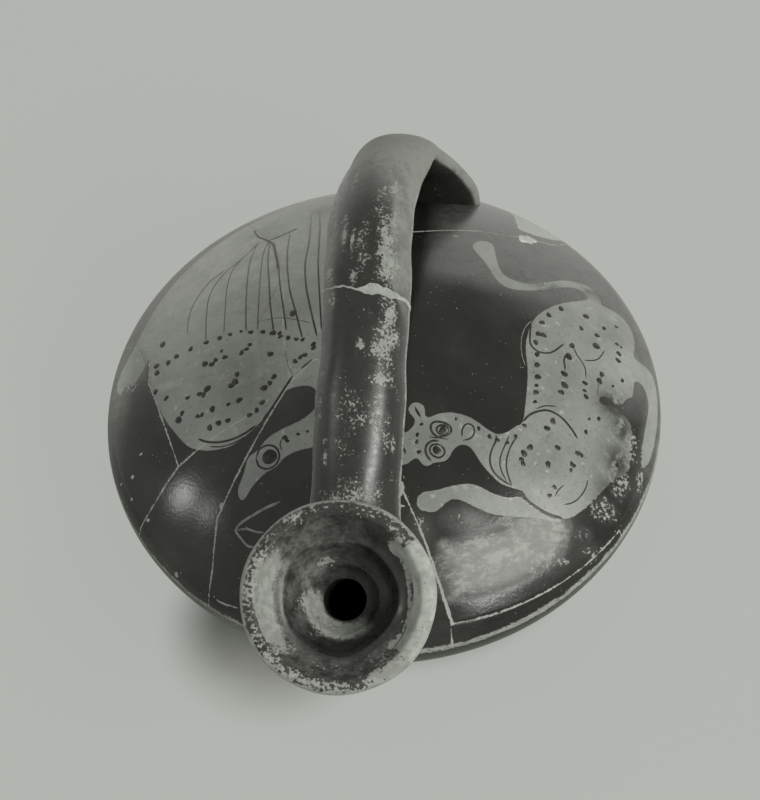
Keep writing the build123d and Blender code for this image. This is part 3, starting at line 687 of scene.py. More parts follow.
def make_sherd(name, flat, breaks, ring=False):
    """Outer face, inner face one wall deeper, and the break faces between their edges.
    The outer face dips into a groove at every break."""
    rows, columns = flat.shape[:2]
    line = flat.reshape(-1, 2)
    run = np.hypot(*line.T)
    gap = np.minimum.reduce([gap_to(line, one) for one in breaks])
    filled = bell(gap_to(line, wide_crack), 0.0, 0.8)
    dip = GROOVE * (0.35 + 0.9 * ragged(line)) * bell(gap, 0.0, GROOVE_WIDTH) * (1 - 0.9 * filled)
    gap -= (0.3 + 0.7 * soft_step(run, 28, 44)) * WIDE_CRACK * filled
    in_patch = inside_gap(line, curve_through(WORN_AND_HIGHLIGHT_PATCH, closed=True))
    in_smear = inside_gap(line, curve_through(PLASTER_SMEAR, closed=True))
    patch = soft_step(in_patch, -1.3, 2.2)
    # grey film: real dust ovals, painted highlight in the worn patch, and painted sheen on the rim and the
    # rear
    films = [
        soft_patches(line, DUST_AND_SHEEN_PATCHES),
        WORN_AND_HIGHLIGHT_FILM * patch,
        PAINTED_RIM_SHEEN * soft_step(run, 45.5, 50.0) * soft_step(line[:, 1] / run, -0.42, -0.05),
        PAINTED_REAR_SHEEN * soft_step(line[:, 1], 12.5, 17.5) * soft_step(line[:, 0], 4.0, 9.0),
    ]
    points = np.concatenate([on_dome(line, dip), on_dome(line, WALL)])
    outer = np.arange(rows * columns).reshape(rows, columns)
    inner = outer + rows * columns
    if ring:
        outer, inner = (np.column_stack([side, side[:, :1]]) for side in (outer, inner))
    faces = [quads(outer), quads(inner)[:, ::-1]]
    for edge in (0, -1):
        turn = -1 if edge == 0 else 1
        faces.append(quads(np.stack([outer[edge], inner[edge]]))[:, ::turn])
        if not ring:
            faces.append(quads(np.stack([outer[:, edge], inner[:, edge]]))[:, ::-turn])
    twice = {
        "figure": figure_gap(line),
        "break_gap": gap,
        "arris_gap": np.clip(ARRIS_RUN - run, 0, FAR) + 0.32 * (1 - soft_step(line @ WORN_SIDE, 30, 44)),
        "rubbed": soft_patches(line, RUBBED_PATCHES),
        "dust_and_sheen": np.maximum.reduce(films),
        # worn patch: real worn film and veins, with the key lamp's highlight painted in
        "veins_and_highlight": patch * (1 - soft_patches(line, GRAINY_BLOB)),
        "dulled": soft_step(in_patch, -1.0, 1.0),
        "soiled": soft_patches(line, SOILED_PATCHES),
        "chipped": soft_patches(line, CHIPS),
        "smeared": np.clip(in_smear, -FIGURE_REACH, FIGURE_REACH),
    }
    marks = {title: np.concatenate([values, values]) for title, values in twice.items()}
    made = make_piece(name, points, faces, marks, PAINTED_WARE, "painted_ware")
    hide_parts(name.replace("painted_", ""))
    return made


LEFT_TOP, LEFT_MID, LEFT_FORK = (-0.85, 0.10), (-0.83, -0.06), (-0.67, -0.42)
INNER_A, INNER_B, WING_FORK = (-0.60, -0.375), (-0.42, -0.28), (-0.29, -0.175)
WING_LOW, WING_MID, WING_TOP = (-0.34, 0.02), (-0.365, 0.26), (-0.40, 0.38)
REAR_FORK, REAR_LEFT, REAR_A = (-0.475, 0.565), (-0.54, 0.68), (-0.375, 0.60)
REAR_B, REAR_C, REAR_D, REAR_RIGHT = (0.07, 0.565), (0.31, 0.64), (0.565, 0.69), (0.625, 0.755)
NECK_A, NECK_B, NECK_C = (-0.21, -0.085), (-0.08, -0.20), (0.113, -0.51)
FRONT_A, FRONT_B, FRONT_C = (-0.385, -0.36), (-0.51, -0.615), (-0.515, -0.765)
RIGHT_A, RIGHT_B = (0.217, -0.683), (0.325, -0.90)

left_break = break_line(LEFT_TOP, LEFT_MID, LEFT_FORK)
inner_break = break_line(LEFT_FORK, INNER_A, INNER_B, WING_FORK)
wing_break = break_line(WING_FORK, WING_LOW, WING_MID, WING_TOP, REAR_FORK)
rear_left_break = break_line(REAR_FORK, REAR_LEFT)
rear_break = break_line(REAR_FORK, REAR_A, REAR_B, REAR_C, REAR_D, REAR_RIGHT)
neck_break = break_line(WING_FORK, NECK_A, NECK_B, NECK_C, RIGHT_A, RIGHT_B)
front_break = break_line(WING_FORK, FRONT_A, FRONT_B, FRONT_C)
left_rim = to_rim(LEFT_TOP, (-1.2, 0.35))
left_low_rim = to_rim(LEFT_FORK, (-0.95, -0.76))
front_left_rim = to_rim(FRONT_C, (-0.56, -1.10))
front_right_rim = to_rim(RIGHT_B, (0.34, -1.15))
wide_crack = np.concatenate([break_line(NECK_C, RIGHT_A, RIGHT_B), front_right_rim[1:]])
rear_right_rim = to_rim(REAR_RIGHT, (0.86, 1.02))
rear_left_rim = to_rim(REAR_LEFT, (-0.76, 1.02))
EDGE_END = 332.0
EDGE_DROP = 1.2

make_sherd(
    "painted_left_flank_sherd",
    four_sided(left_break, rim_arc(azimuth(left_rim), azimuth(left_low_rim)), left_rim, left_low_rim),
    [left_break, left_rim, left_low_rim],
)
right_of_front = np.concatenate([front_break, front_left_rim[1:]])
make_sherd(
    "painted_left_front_sherd",
    four_sided(
        inner_break, rim_arc(azimuth(left_low_rim), azimuth(front_left_rim)), left_low_rim, right_of_front
    ),
    [inner_break, left_low_rim, right_of_front],
)
under_wing = np.concatenate([left_break, inner_break[1:]])
beside_wing = np.concatenate([wing_break, rear_left_break[1:], rear_left_rim[1:]])
make_sherd(
    "painted_left_wing_sherd",
    four_sided(under_wing, rim_arc(azimuth(left_rim), azimuth(rear_left_rim)), left_rim, beside_wing),
    [under_wing, beside_wing, left_rim],
)
whole_rear = np.concatenate([rear_left_break[::-1], rear_break[1:]])
rear_arc = rim_arc(azimuth(rear_left_rim), azimuth(rear_right_rim))
make_sherd(
    "painted_rear_sherd",
    four_sided(whole_rear, rear_arc, rear_left_rim, rear_right_rim),
    [whole_rear, rear_left_rim, rear_right_rim],
)

# the big right sherd steps round the strip that broke off its shoulder
edge_start = azimuth(front_right_rim)
strip_run = EDGE_RUN + np.linspace(-EDGE_DROP, EDGE_DROP, 90)
strip_top = arc((0, 0), 1.0, edge_start, EDGE_END, 90) * strip_run[:, None]
strip_end = np.stack([strip_top[-1], strip_top[-1] * ARRIS_RUN / strip_run[-1]])
to_strip = np.concatenate([neck_break, strip_top[:1]])
right_arc = rim_arc(EDGE_END, azimuth(rear_right_rim) + 360)
outer_side = np.concatenate([strip_top, strip_end[1:], right_arc[1:]])
behind = np.concatenate([rear_break, rear_right_rim[1:]])
make_sherd(
    "painted_right_main_sherd",
    four_sided(to_strip, behind, wing_break, outer_side),
    [to_strip, behind, wing_break, strip_top, strip_end],
)
strip_start = np.stack([strip_top[0], strip_top[0] * ARRIS_RUN / strip_run[0]])
make_sherd(
    "painted_right_edge_sherd",
    four_sided(strip_top, rim_arc(edge_start, EDGE_END), strip_start, strip_end),
    [strip_top, strip_start, strip_end],
)

# the front sherd runs from the hole under the spout out to its own outline
SPOUT_TILT = math.radians(62.0)
MOUTH = np.array([-1.1, -50.0, 42.0])
SPOUT_UP = np.array([0.0, -math.cos(SPOUT_TILT), math.sin(SPOUT_TILT)])
SPOUT_BACK = np.array([0.0, math.sin(SPOUT_TILT), math.cos(SPOUT_TILT)])
SPOUT_RIGHT = np.array([1.0, 0.0, 0.0])
BORE = 3.3
HOLE_DEPTH = 20.7
HOLE_STRETCH = 1.35
FRONT_COLUMNS = 590
FRONT_RUN = 30.0
HAIRLINE = [(-26.0, -42.7), (-24.9, -43.8), (-23.2, -44.4), (-21.3, -44.9)]
hole_middle = (MOUTH - HOLE_DEPTH * SPOUT_UP)[:2]
front_outline = np.concatenate([
    right_of_front[::-1],
    neck_break[1:],
    front_right_rim[1:],
    rim_arc(azimuth(front_right_rim), azimuth(front_left_rim))[1:-1],
])
front_shares = np.linspace(0, 1, FRONT_COLUMNS, endpoint=False)
front_edge = resampled(np.concatenate([front_outline, front_outline[:1]]), front_shares)
hole_flat = unrolled(hole_middle)
bearing = np.arctan2(*(front_edge - hole_flat).T[::-1])
slant = BORE / math.sin(SPOUT_TILT) * HOLE_STRETCH
hole_edge = unrolled(hole_middle + np.stack([BORE * np.cos(bearing), slant * np.sin(bearing)], 1))
shares = spread(FRONT_RUN, SHERD_STEP)[:, None, None]
make_sherd(
    "painted_front_sherd",
    (1 - shares) * hole_edge[None] + shares * front_edge[None],
    [right_of_front, neck_break, front_right_rim, np.array(HAIRLINE)],
    ring=True,
)

# Relief lines and spots: the painter's thick black slip, trailed over the reserved clay before firing.
# Each line stands a few hundredths of a millimetre proud and tapers at both ends; each spot is a low blob.
LINE_HEIGHT = 0.06
LINE_ROOT = 0.10
LINE_SPREAD = 1.25
FELINE_LINES = [
    ([(7.0, -11.8), (7.4, -12.5), (8.0, -13.4)], 0.5),
    ([(5.6, -18.6), (6.0, -19.3), (6.2, -19.8)], 0.5),
    ([(13.0, -15.6), (13.1, -14.8), (12.6, -14.1), (11.5, -13.8), (10.4, -13.9), (9.8, -14.5), (9.9, -15.3),
      (10.3, -15.9), (11.1, -16.3), (12.2, -16.0), (13.1, -15.4)], 0.4),
    ([(12.8, -15.1), (12.3, -14.4), (11.5, -14.3), (10.8, -14.8), (10.9, -15.5), (11.6, -15.9), (12.4, -15.7),
      (12.8, -15.1)], 0.38),
    ([(11.4, -17.0), (10.3, -17.1), (9.5, -17.8), (9.3, -18.7), (9.6, -19.6), (10.4, -20.5)], 0.4),
    ([(11.6, -17.6), (12.3, -18.3), (12.3, -19.1), (11.6, -19.7), (10.6, -19.5), (10.0, -18.8), (10.2, -17.9),
      (11.0, -17.6), (11.7, -17.7)], 0.36),
    ([(9.6, -16.6), (11.2, -16.5), (12.8, -16.5)], 0.22),
    ([(14.9, -15.7), (14.9, -14.3), (15.4, -13.5), (16.2, -13.4), (16.8, -14.0), (16.8, -14.9), (16.3, -15.7),
      (15.2, -16.3)], 0.3),
    ([(20.4, -14.2), (20.5, -15.2), (20.0, -16.8), (19.8, -18.4), (20.3, -20.0), (21.6, -21.2),
      (23.8, -22.1)], 0.34),
    ([(22.6, -14.0), (22.0, -15.9), (21.5, -18.0), (21.8, -19.8), (22.9, -21.5)], 0.26),
    ([(23.8, -13.9), (23.0, -15.8), (22.6, -18.0), (22.9, -20.0), (23.9, -22.1)], 0.3),
    ([(24.7, -10.9), (25.6, -9.5), (27.0, -8.4), (28.6, -7.7), (30.2, -7.8), (31.8, -8.5), (33.3, -9.7),
      (34.5, -11.0)], 0.42),
    ([(26.7, -8.0), (28.0, -7.1), (29.2, -6.7), (30.1, -6.5)], 0.24),
    ([(37.2, -17.5), (36.9, -19.2), (36.0, -21.0), (34.8, -22.2), (33.4, -22.9)], 0.26),
    ([(32.9, -19.7), (32.0, -20.9), (31.6, -22.0)], 0.24),
    ([(25.6, -22.5), (26.8, -23.8), (28.6, -24.6), (31.0, -25.2), (33.4, -25.2)], 0.5),
    ([(24.7, 8.4), (24.6, 6.4), (24.8, 4.2), (25.8, 3.2), (27.2, 3.1), (28.8, 4.0), (30.7, 6.5)], 0.36),
    ([(31.1, 4.3), (30.9, 3.0), (31.1, 1.9), (31.2, 1.0)], 0.36),
    ([(32.4, 6.6), (33.2, 5.2), (34.2, 4.1), (34.9, 2.8), (35.1, 1.2)], 0.24),
    ([(34.6, 4.7), (36.2, 5.4), (37.4, 6.5), (38.5, 8.9)], 0.24),
    ([(38.4, 3.9), (37.6, 1.0), (37.5, -1.4)], 0.2, 0.6, 0.3),
]
FELINE_SPOTS = [
    (29.9, 14.6, 0.50), (27.7, 11.9, 0.48), (26.6, 9.6, 0.46), (26.0, 6.8, 0.46), (26.9, 6.9, 0.52),
    (25.7, 4.8, 0.45), (26.1, 2.4, 0.45), (26.2, 0.3, 0.48), (26.5, -2.0, 0.52), (26.4, -3.7, 0.32),
    (26.4, -5.0, 0.46), (26.4, -6.8, 0.32), (32.2, 6.8, 0.52), (31.7, 4.2, 0.62), (31.1, 0.3, 0.56),
    (31.3, -1.9, 0.62), (30.8, -3.5, 0.48), (34.7, 15.3, 0.55), (38.3, 14.4, 0.42), (33.8, 11.7, 0.44),
    (36.9, 11.7, 0.44), (36.8, 9.1, 0.66), (41.0, 12.0, 0.36), (41.9, 11.8, 0.26), (41.4, 9.9, 0.48),
    (41.3, 8.2, 0.50), (38.1, 3.3, 0.48), (37.7, 1.7, 0.55), (42.3, 4.1, 0.36), (40.4, 1.9, 0.28),
    (35.0, 0.0, 0.44), (35.0, -1.5, 0.32), (35.4, -2.6, 0.44), (40.9, 16.5, 0.34), (38.1, -5.8, 0.36),
    (36.3, -6.6, 0.26), (29.8, -9.3, 0.50), (28.9, -10.9, 0.48), (31.1, -13.7, 0.44), (26.3, -15.0, 0.48),
    (25.4, -16.3, 0.52), (25.1, -17.4, 0.40), (25.4, -18.0, 0.40), (29.7, -17.0, 0.48),
    (34.8, -13.5, 0.44), (35.5, -13.6, 0.36), (33.9, -15.7, 0.36), (34.4, -15.9, 0.32),
    (33.9, -16.8, 0.30), (31.3, -20.5, 0.34), (30.6, -22.1, 0.34), (42.5, -12.9, 0.36),
    (35.9, -9.2, 0.36), (25.0, -11.5, 0.34), (23.7, -13.8, 0.34), (22.4, -15.2, 0.32),
    (20.7, -15.1, 0.34), (19.4, -14.8, 0.36), (17.5, -13.8, 0.32), (13.7, -12.9, 0.24),
    (7.8, -16.4, 0.30), (7.8, -17.6, 0.30), (8.3, -14.6, 0.26), (8.3, -19.2, 0.32), (11.75, -15.15, 0.58),
    (11.1, -18.55, 0.62),
]
BIRD_LINES = [
    ([(-29.2, -16.3), (-27.4, -17.1), (-25.0, -17.5), (-22.4, -17.2), (-20.4, -16.4), (-18.6, -15.3)], 0.42),
    ([(-26.8, -18.0), (-24.8, -18.3), (-22.6, -18.0), (-20.2, -17.0)], 0.26),
    ([(-13.2, -7.0), (-14.2, -8.8), (-15.2, -10.7), (-16.4, -12.8), (-17.6, -14.4)], 0.42),
    ([(-12.0, -5.8), (-11.0, -4.8), (-10.3, -4.1)], 0.3),
    ([(-14.0, -17.9), (-14.3, -18.8), (-13.9, -19.9)], 0.22),
    ([(-18.3, -20.8), (-17.7, -19.4), (-16.3, -18.85), (-14.9, -19.4), (-14.3, -20.8), (-14.9, -22.2),
      (-16.3, -22.75), (-17.7, -22.2), (-18.3, -20.8)], 0.36),
    ([(-20.0, 4.6), (-17.0, 4.8), (-14.5, 4.2), (-11.5, 3.2)], 0.16, 0.3, 0.6),
    ([(-9.3, 1.4), (-10.4, 8.0), (-11.8, 16.5), (-12.6, 23.0), (-13.4, 29.0),
      (-15.0, 38.0)], 0.30, 1.0, 0.15),
    ([(-10.0, 0.4), (-12.1, 7.4), (-13.3, 12.0), (-14.2, 17.6), (-14.6, 25.0),
      (-16.0, 35.0)], 0.32, 1.0, 0.15),
    ([(-12.4, 0.2), (-14.3, 6.0), (-16.1, 11.6), (-17.8, 20.0), (-18.7, 28.0)], 0.30, 1.0, 0.2),
    ([(-15.3, 2.0), (-16.6, 7.4), (-17.9, 12.6), (-19.2, 18.6), (-21.2, 25.6)], 0.28, 0.9, 0.25),
    ([(-17.5, 2.0), (-18.9, 8.0), (-20.2, 14.6), (-21.4, 20.4), (-22.1, 26.0)], 0.30, 0.9, 0.25),
    ([(-20.4, 2.8), (-21.1, 8.8), (-22.0, 16.4), (-22.6, 22.4), (-22.4, 26.2)], 0.22, 0.6, 0.2),
    ([(-22.5, 2.9), (-23.4, 8.8), (-24.2, 14.8), (-24.8, 21.0), (-24.6, 26.0)], 0.26, 0.7, 0.2),
    ([(-26.6, 3.2), (-27.3, 8.8), (-28.0, 14.6), (-27.9, 19.0), (-26.6, 22.4)], 0.20, 0.4, 0.2),
    ([(-29.9, 2.4), (-30.9, 8.8), (-31.2, 14.0), (-29.6, 18.8), (-26.6, 22.4),
      (-24.4, 26.6)], 0.22, 0.5, 0.2),
    ([(-34.2, 5.6), (-34.6, 10.4), (-33.8, 14.2), (-32.0, 17.8), (-29.6, 20.0)], 0.2, 0.35, 0.2),
    ([(-26.8, 33.0), (-25.0, 29.2), (-22.6, 26.6), (-21.2, 24.6), (-19.8, 20.4), (-18.9, 16.6)], 0.42),
    ([(-22.4, 26.6), (-20.0, 27.6), (-17.6, 29.4)], 0.26),
]
BIRD_SPOTS = [
    (-39.3, 5.0, 0.62), (-39.8, 0.4, 0.56), (-39.4, -1.2, 0.56), (-37.2, 0.2, 0.50), (-35.6, 1.0, 0.50),
    (-32.8, 1.7, 0.46), (-29.8, 2.2, 0.44), (-27.3, 2.5, 0.46), (-25.4, 2.8, 0.38), (-23.4, 3.0, 0.28),
    (-21.6, 2.5, 0.42), (-19.4, 2.2, 0.42), (-17.6, 1.7, 0.52), (-16.4, 1.5, 0.36), (-16.2, 0.8, 0.36),
    (-14.8, 0.4, 0.40), (-13.4, 0.0, 0.36), (-12.3, -0.2, 0.34), (-14.6, 5.5, 0.60), (-29.4, -2.3, 0.56),
    (-28.0, -2.7, 0.50), (-27.4, -2.0, 0.42), (-25.7, -1.8, 0.46), (-22.7, -1.5, 0.44),
    (-21.9, -0.9, 0.40), (-21.4, -0.1, 0.38), (-26.5, -0.4, 0.28), (-17.5, -2.5, 0.50),
    (-10.4, -1.2, 0.42), (-10.3, -1.9, 0.40), (-13.1, -4.3, 0.40), (-12.3, -3.6, 0.38),
    (-11.6, -3.2, 0.40), (-39.1, -5.2, 0.50), (-36.5, -7.2, 0.44), (-32.0, -8.3, 0.38),
    (-29.7, -8.1, 0.46), (-28.9, -8.4, 0.46), (-28.3, -7.4, 0.62), (-23.8, -7.6, 0.52),
    (-23.2, -7.0, 0.58), (-23.0, -5.6, 0.44), (-16.4, -6.9, 0.44), (-17.0, -8.0, 0.42),
    (-17.9, -8.8, 0.54), (-32.8, -11.0, 0.44), (-33.4, -12.1, 0.62), (-29.6, -12.2, 0.36),
    (-28.8, -12.1, 0.36), (-26.9, -11.4, 0.52), (-24.0, -11.0, 0.34), (-22.1, -10.5, 0.50),
    (-18.0, -11.4, 0.44), (-27.1, -14.7, 0.50), (-25.5, -14.1, 0.48), (-23.8, -13.9, 0.44),
    (-20.0, -13.4, 0.40), (-18.8, -12.7, 0.38), (-13.6, -17.7, 0.40), (-13.2, -18.2, 0.34),
    (-11.4, -17.2, 0.26), (-9.9, -16.8, 0.24), (-15.95, -20.8, 1.15),
]
SPOT_TURNS = 18
SPOT_SPREAD = 1.35


def trailed(lines):
    """Flat rounded bands along smooth curves: a half oval section carried along each path, thin at its ends.
    A line may give the ink at its start and at its end, as shares of full black."""
    points, faces, inks, first = [], [], [], 0
    side = np.array([-1.0, -0.6, 0.0, 0.6, 1.0, 0.0])
    flank = 0.75 * LINE_HEIGHT
    height = np.array([-LINE_ROOT, flank, LINE_HEIGHT, flank, -LINE_ROOT, -2 * LINE_ROOT])
    for knots, width, *ink in lines:
        path = curve_through(knots, pieces=10)
        slope = np.gradient(path, axis=0)
        across = np.stack([-slope[:, 1], slope[:, 0]], 1) / np.hypot(*slope.T)[:, None]
        run = run_along(path)
        to_end = np.minimum(run, run[-1] - run)
        half = 0.5 * LINE_SPREAD * width * np.minimum(1, 0.25 + to_end / 0.8)
        flat = path[:, None] + (half[:, None] * side)[..., None] * across[:, None]
        band = on_dome(flat, np.broadcast_to(-height, flat.shape[:2]))
        band_points, band_faces = capped(band, band[[0, -1]].mean(1), first)
        begin, end = ink or (1.0, 1.0)
        inks += [np.repeat(np.interp(run, [0, run[-1]], [begin, end]), len(side)), [begin, end]]
        points.append(band_points)
        faces += band_faces
        first += len(band_points)
    quad_faces = np.concatenate([group for group in faces if group.shape[1] == 4])
    end_faces = np.concatenate([group for group in faces if group.shape[1] == 3])
    return np.concatenate(points), [quad_faces, end_faces], {"ink": np.concatenate(inks)}


def dabbed(spots):
    """Low blobs: three rings round each spot, their radius uneven by two waves set by the spot's place."""
    spot = np.array(spots)
    turn = np.linspace(0, FULL_TURN, SPOT_TURNS, endpoint=False)
    waves = 0.16 * np.sin(2 * turn + 3.1 * spot[:, :1]) + 0.09 * np.sin(3 * turn + 2.3 * spot[:, 1:2])
    uneven = 1 + waves * np.clip(0.9 - spot[:, 2:], 0.1, 0.6) / 0.5
    share = np.array([1.0, 0.72, 0.34])
    height = np.array([-LINE_ROOT, LINE_HEIGHT * 0.8, LINE_HEIGHT * 1.2])
    radius = SPOT_SPREAD * spot[:, 2, None, None] * share[None, :, None] * uneven[:, None, :]
    around = np.stack([np.cos(turn), np.sin(turn)], -1)
    flat = spot[:, None, None, :2] + radius[..., None] * around
    rings = on_dome(flat, np.broadcast_to(-height[None, :, None], flat.shape[:3])).reshape(len(spot), -1, 3)
    hubs = np.stack([on_dome(spot[:, :2], 2 * LINE_ROOT), on_dome(spot[:, :2], -1.3 * LINE_HEIGHT)], 1)
    points = np.concatenate([rings, hubs], 1)
    numbers, sides = round_faces(3, SPOT_TURNS)
    ends = np.concatenate([fan(numbers[0], numbers.size)[:, ::-1], fan(numbers[-1], numbers.size + 1)])
    first = (np.arange(len(spot)) * points.shape[1])[:, None, None]
    faces = [(sides + first).reshape(-1, 4), (ends + first).reshape(-1, 3)]
    return points.reshape(-1, 3), faces, {"ink": np.ones(points.size // 3)}


SLIP_BLACK = (0.016, 0.016, 0.014, 1)
SLIP_BROWN = (0.06, 0.061, 0.053, 1)
SLIP_FADED = (0.235, 0.24, 0.218, 1)
STROKE_PALE = (0.33, 0.336, 0.305, 1)
STROKE_GREY = (0.18, 0.183, 0.165, 1)
LINE_BUMP, LINE_GRAIN_DEPTH = 0.3, 0.00004


def relief_slip():
    """Thick painted slip: nearly black, brown where thin, faded where the ink runs low, semi matt."""
    made, tree, place = new_material("relief_slip")
    cloud = grain(tree, place, 700.0, 3.0, 0.6)
    colour = blend(tree, step(tree, cloud, 0.45, 0.70), SLIP_BLACK, SLIP_BROWN)
    thin = step(tree, plus(tree, mark(tree, "ink"), times(tree, cloud, 0.5)), 1.15, 0.25)
    rough = plus(tree, times(tree, cloud, 0.3), 0.25)
    surface(tree, blend(tree, thin, colour, SLIP_FADED), rough, cloud, LINE_BUMP, LINE_GRAIN_DEPTH)
    return made


RELIEF_SLIP = relief_slip()
PALE_STROKES = [
    ([(-21.6, -32.4), (-20.5, -31.3), (-18.5, -30.2), (-16.2, -29.1), (-13.6, -28.1)], 0.52),
    ([(-21.5, -32.4), (-19.4, -32.3), (-17.9, -32.8), (-16.4, -33.0)], 0.40),
    ([(-21.6, -32.4), (-20.4, -33.8), (-19.2, -35.0), (-17.9, -35.2)], 0.44),
    ([(24.8, 9.3), (23.8, 7.6), (23.3, 5.6), (23.2, 3.4), (23.5, 1.4), (24.2, -0.6)], 0.16),
    ([(-18.3, 12.0), (-19.2, 8.4), (-20.5, 3.8)], 0.12),
    ([(-15.1, -2.0), (-14.4, -4.4), (-13.4, -6.8)], 0.14),
]


def bare_stroke():
    """Clay left bare by a fine tool: pale, matt, speckled."""
    made, tree, place = new_material("bare_stroke")
    cloud = grain(tree, place, 900.0, 4.0, 0.6)
    colour = blend(tree, step(tree, cloud, 0.42, 0.66), STROKE_PALE, STROKE_GREY)
    rough = plus(tree, times(tree, cloud, 0.3), 0.4)
    surface(tree, colour, rough, cloud, LINE_BUMP, LINE_GRAIN_DEPTH)
    return made


make_piece("bare_strokes", *trailed(PALE_STROKES), bare_stroke(), "painted_ware")
for name, lines in (("feline_lines", FELINE_LINES), ("bird_lines", BIRD_LINES)):
    make_piece(name, *trailed(lines), RELIEF_SLIP, "painted_ware")
for name, spots in (("feline_spots", FELINE_SPOTS), ("bird_spots", BIRD_SPOTS)):
    make_piece(name, *dabbed(spots), RELIEF_SLIP, "painted_ware")

# Spout: a thrown funnel mouth on a narrow neck, black gloss outside and in, luted on the dome.
# Its lip is the most worn place of the vessel, and the right of it is lost and filled.
MOUTH_RADIUS = 14.7
LIP_ROUND = 1.1
LIP_DEPTH = 2.6
LIP_SLOPE = 0.4
BOWL_RADIUS = MOUTH_RADIUS - 2.4
STEP_RADIUS = 9.1
STEP_DEPTH = 4.2
STEP_LEDGE = 0.6
LEDGE_SOFTENING = 8
FUNNEL_RADIUS = 5.4
FUNNEL_DEPTH = 10.0
BORE_DEPTH = 12.6
WAIST_RADIUS = 7.4
WAIST_DEPTH = 14.5
ROOT_RADIUS = 8.0
ROOT_DEPTH = 22.0
NECK_END = 28.0
SEAT = 0.8
FILL_FROM, FILL_TO = -38.0, 40.0
FILL_RADIUS = MOUTH_RADIUS - 3.5
SPOUT_TURNS = 240
BORE_ROWS, NECK_ROWS = 14, 28
TRIALS = 141


def bow(a, b, rise, count):
    """Arc like curve from a to b that bulges by rise to the left of its chord."""
    t = np.linspace(0, 1, count)[:, None]
    a, b = np.array(a, float), np.array(b, float)
    left = np.array([-(b - a)[1], (b - a)[0]]) / np.hypot(*(b - a))
    return a + t * (b - a) + 4 * rise * t * (1 - t) * left


def slope_curve(a, b, slope_a, slope_b, count):
    """Cubic from a to b with the given end slopes."""
    t = np.linspace(0, 1, count)[:, None]
    a, b, slope_a, slope_b = (np.array(p, float) for p in (a, b, slope_a, slope_b))
    return (
        (2 * t**3 - 3 * t**2 + 1) * a
        + (t**3 - 2 * t**2 + t) * slope_a
        + (3 * t**2 - 2 * t**3) * b
        + (t**3 - t**2) * slope_b
    )


ledge = (STEP_RADIUS - STEP_LEDGE, -STEP_DEPTH - STEP_LEDGE)
inside_outline = np.concatenate([
    np.stack([np.full(BORE_ROWS, BORE), np.linspace(-NECK_END, -BORE_DEPTH - 0.5, BORE_ROWS)], 1),
    bow((BORE, -BORE_DEPTH), (FUNNEL_RADIUS, -FUNNEL_DEPTH), -0.25, 10),
    bow((FUNNEL_RADIUS, -FUNNEL_DEPTH), ledge, -0.45, 22)[1:],
    bow(ledge, (STEP_RADIUS, -STEP_DEPTH), 0.2, 8)[1:],
    bow((STEP_RADIUS, -STEP_DEPTH), (BOWL_RADIUS, -0.25), -0.38, 22)[1:],
    bow((BOWL_RADIUS, -0.25), (BOWL_RADIUS + 0.6, 0.0), 0.08, 5)[1:],
])
outside_outline = np.concatenate([
    np.stack([np.linspace(BOWL_RADIUS + 0.9, MOUTH_RADIUS - LIP_ROUND, 6), np.zeros(6)], 1),
    arc((MOUTH_RADIUS - LIP_ROUND, -LIP_ROUND), LIP_ROUND, 90, 0, 12)[1:],
    bow((MOUTH_RADIUS, -LIP_ROUND), (MOUTH_RADIUS - LIP_SLOPE, -LIP_DEPTH), 0.0, 6)[1:],
    slope_curve(
        (MOUTH_RADIUS - LIP_SLOPE, -LIP_DEPTH), (WAIST_RADIUS, -WAIST_DEPTH), (-8.2, -7.4), (0.2, -13.0), 40
    )[1:],
    slope_curve((WAIST_RADIUS, -WAIST_DEPTH), (ROOT_RADIUS, -ROOT_DEPTH), (0.1, -7.5), (1.1, -7.5), 16)[1:],
    np.stack([np.full(12, ROOT_RADIUS), np.linspace(-ROOT_DEPTH - 0.5, -NECK_END, 12)], 1),
])
spout_outline = np.concatenate([inside_outline, outside_outline])
in_bowl_rows = (spout_outline[:, 0] > 7.0) & (np.arange(len(spout_outline)) < len(inside_outline) + 4)
for _ in range(LEDGE_SOFTENING):
    before, after = np.roll(spout_outline, 1, axis=0), np.roll(spout_outline, -1, axis=0)
    softened = (before + 2 * spout_outline + after) / 4
    spout_outline = np.where(in_bowl_rows[:, None], softened, spout_outline)


def on_spout(radius, depth, turn):
    """Place from the mouth: along the spout's axis by depth, out by radius at an angle from its right."""
    return (
        MOUTH
        + depth[..., None] * SPOUT_UP
        + (radius * np.cos(turn))[..., None] * SPOUT_RIGHT
        + (radius * np.sin(turn))[..., None] * SPOUT_BACK
    )


def below_dome(points):
    """Depth of points under the outside of the vessel's top, along the dome's own radius."""
    away = np.hypot(points[..., 0], points[..., 1])
    return DOME_CURVE - np.hypot(away, points[..., 2] - DOME_MIDDLE)


def lip_sway(turn):
    """Uneven height of the lip round the mouth: two waves."""
    return 0.16 * np.sin(2 * turn + 0.6) + 0.09 * np.sin(5 * turn + 2.0)


def out_of_round(turn):
    """Factor on the radius: the mouth is a little oval and wavy."""
    return 1 + 0.008 * np.sin(2 * turn + 1.2) + 0.004 * np.sin(7 * turn)


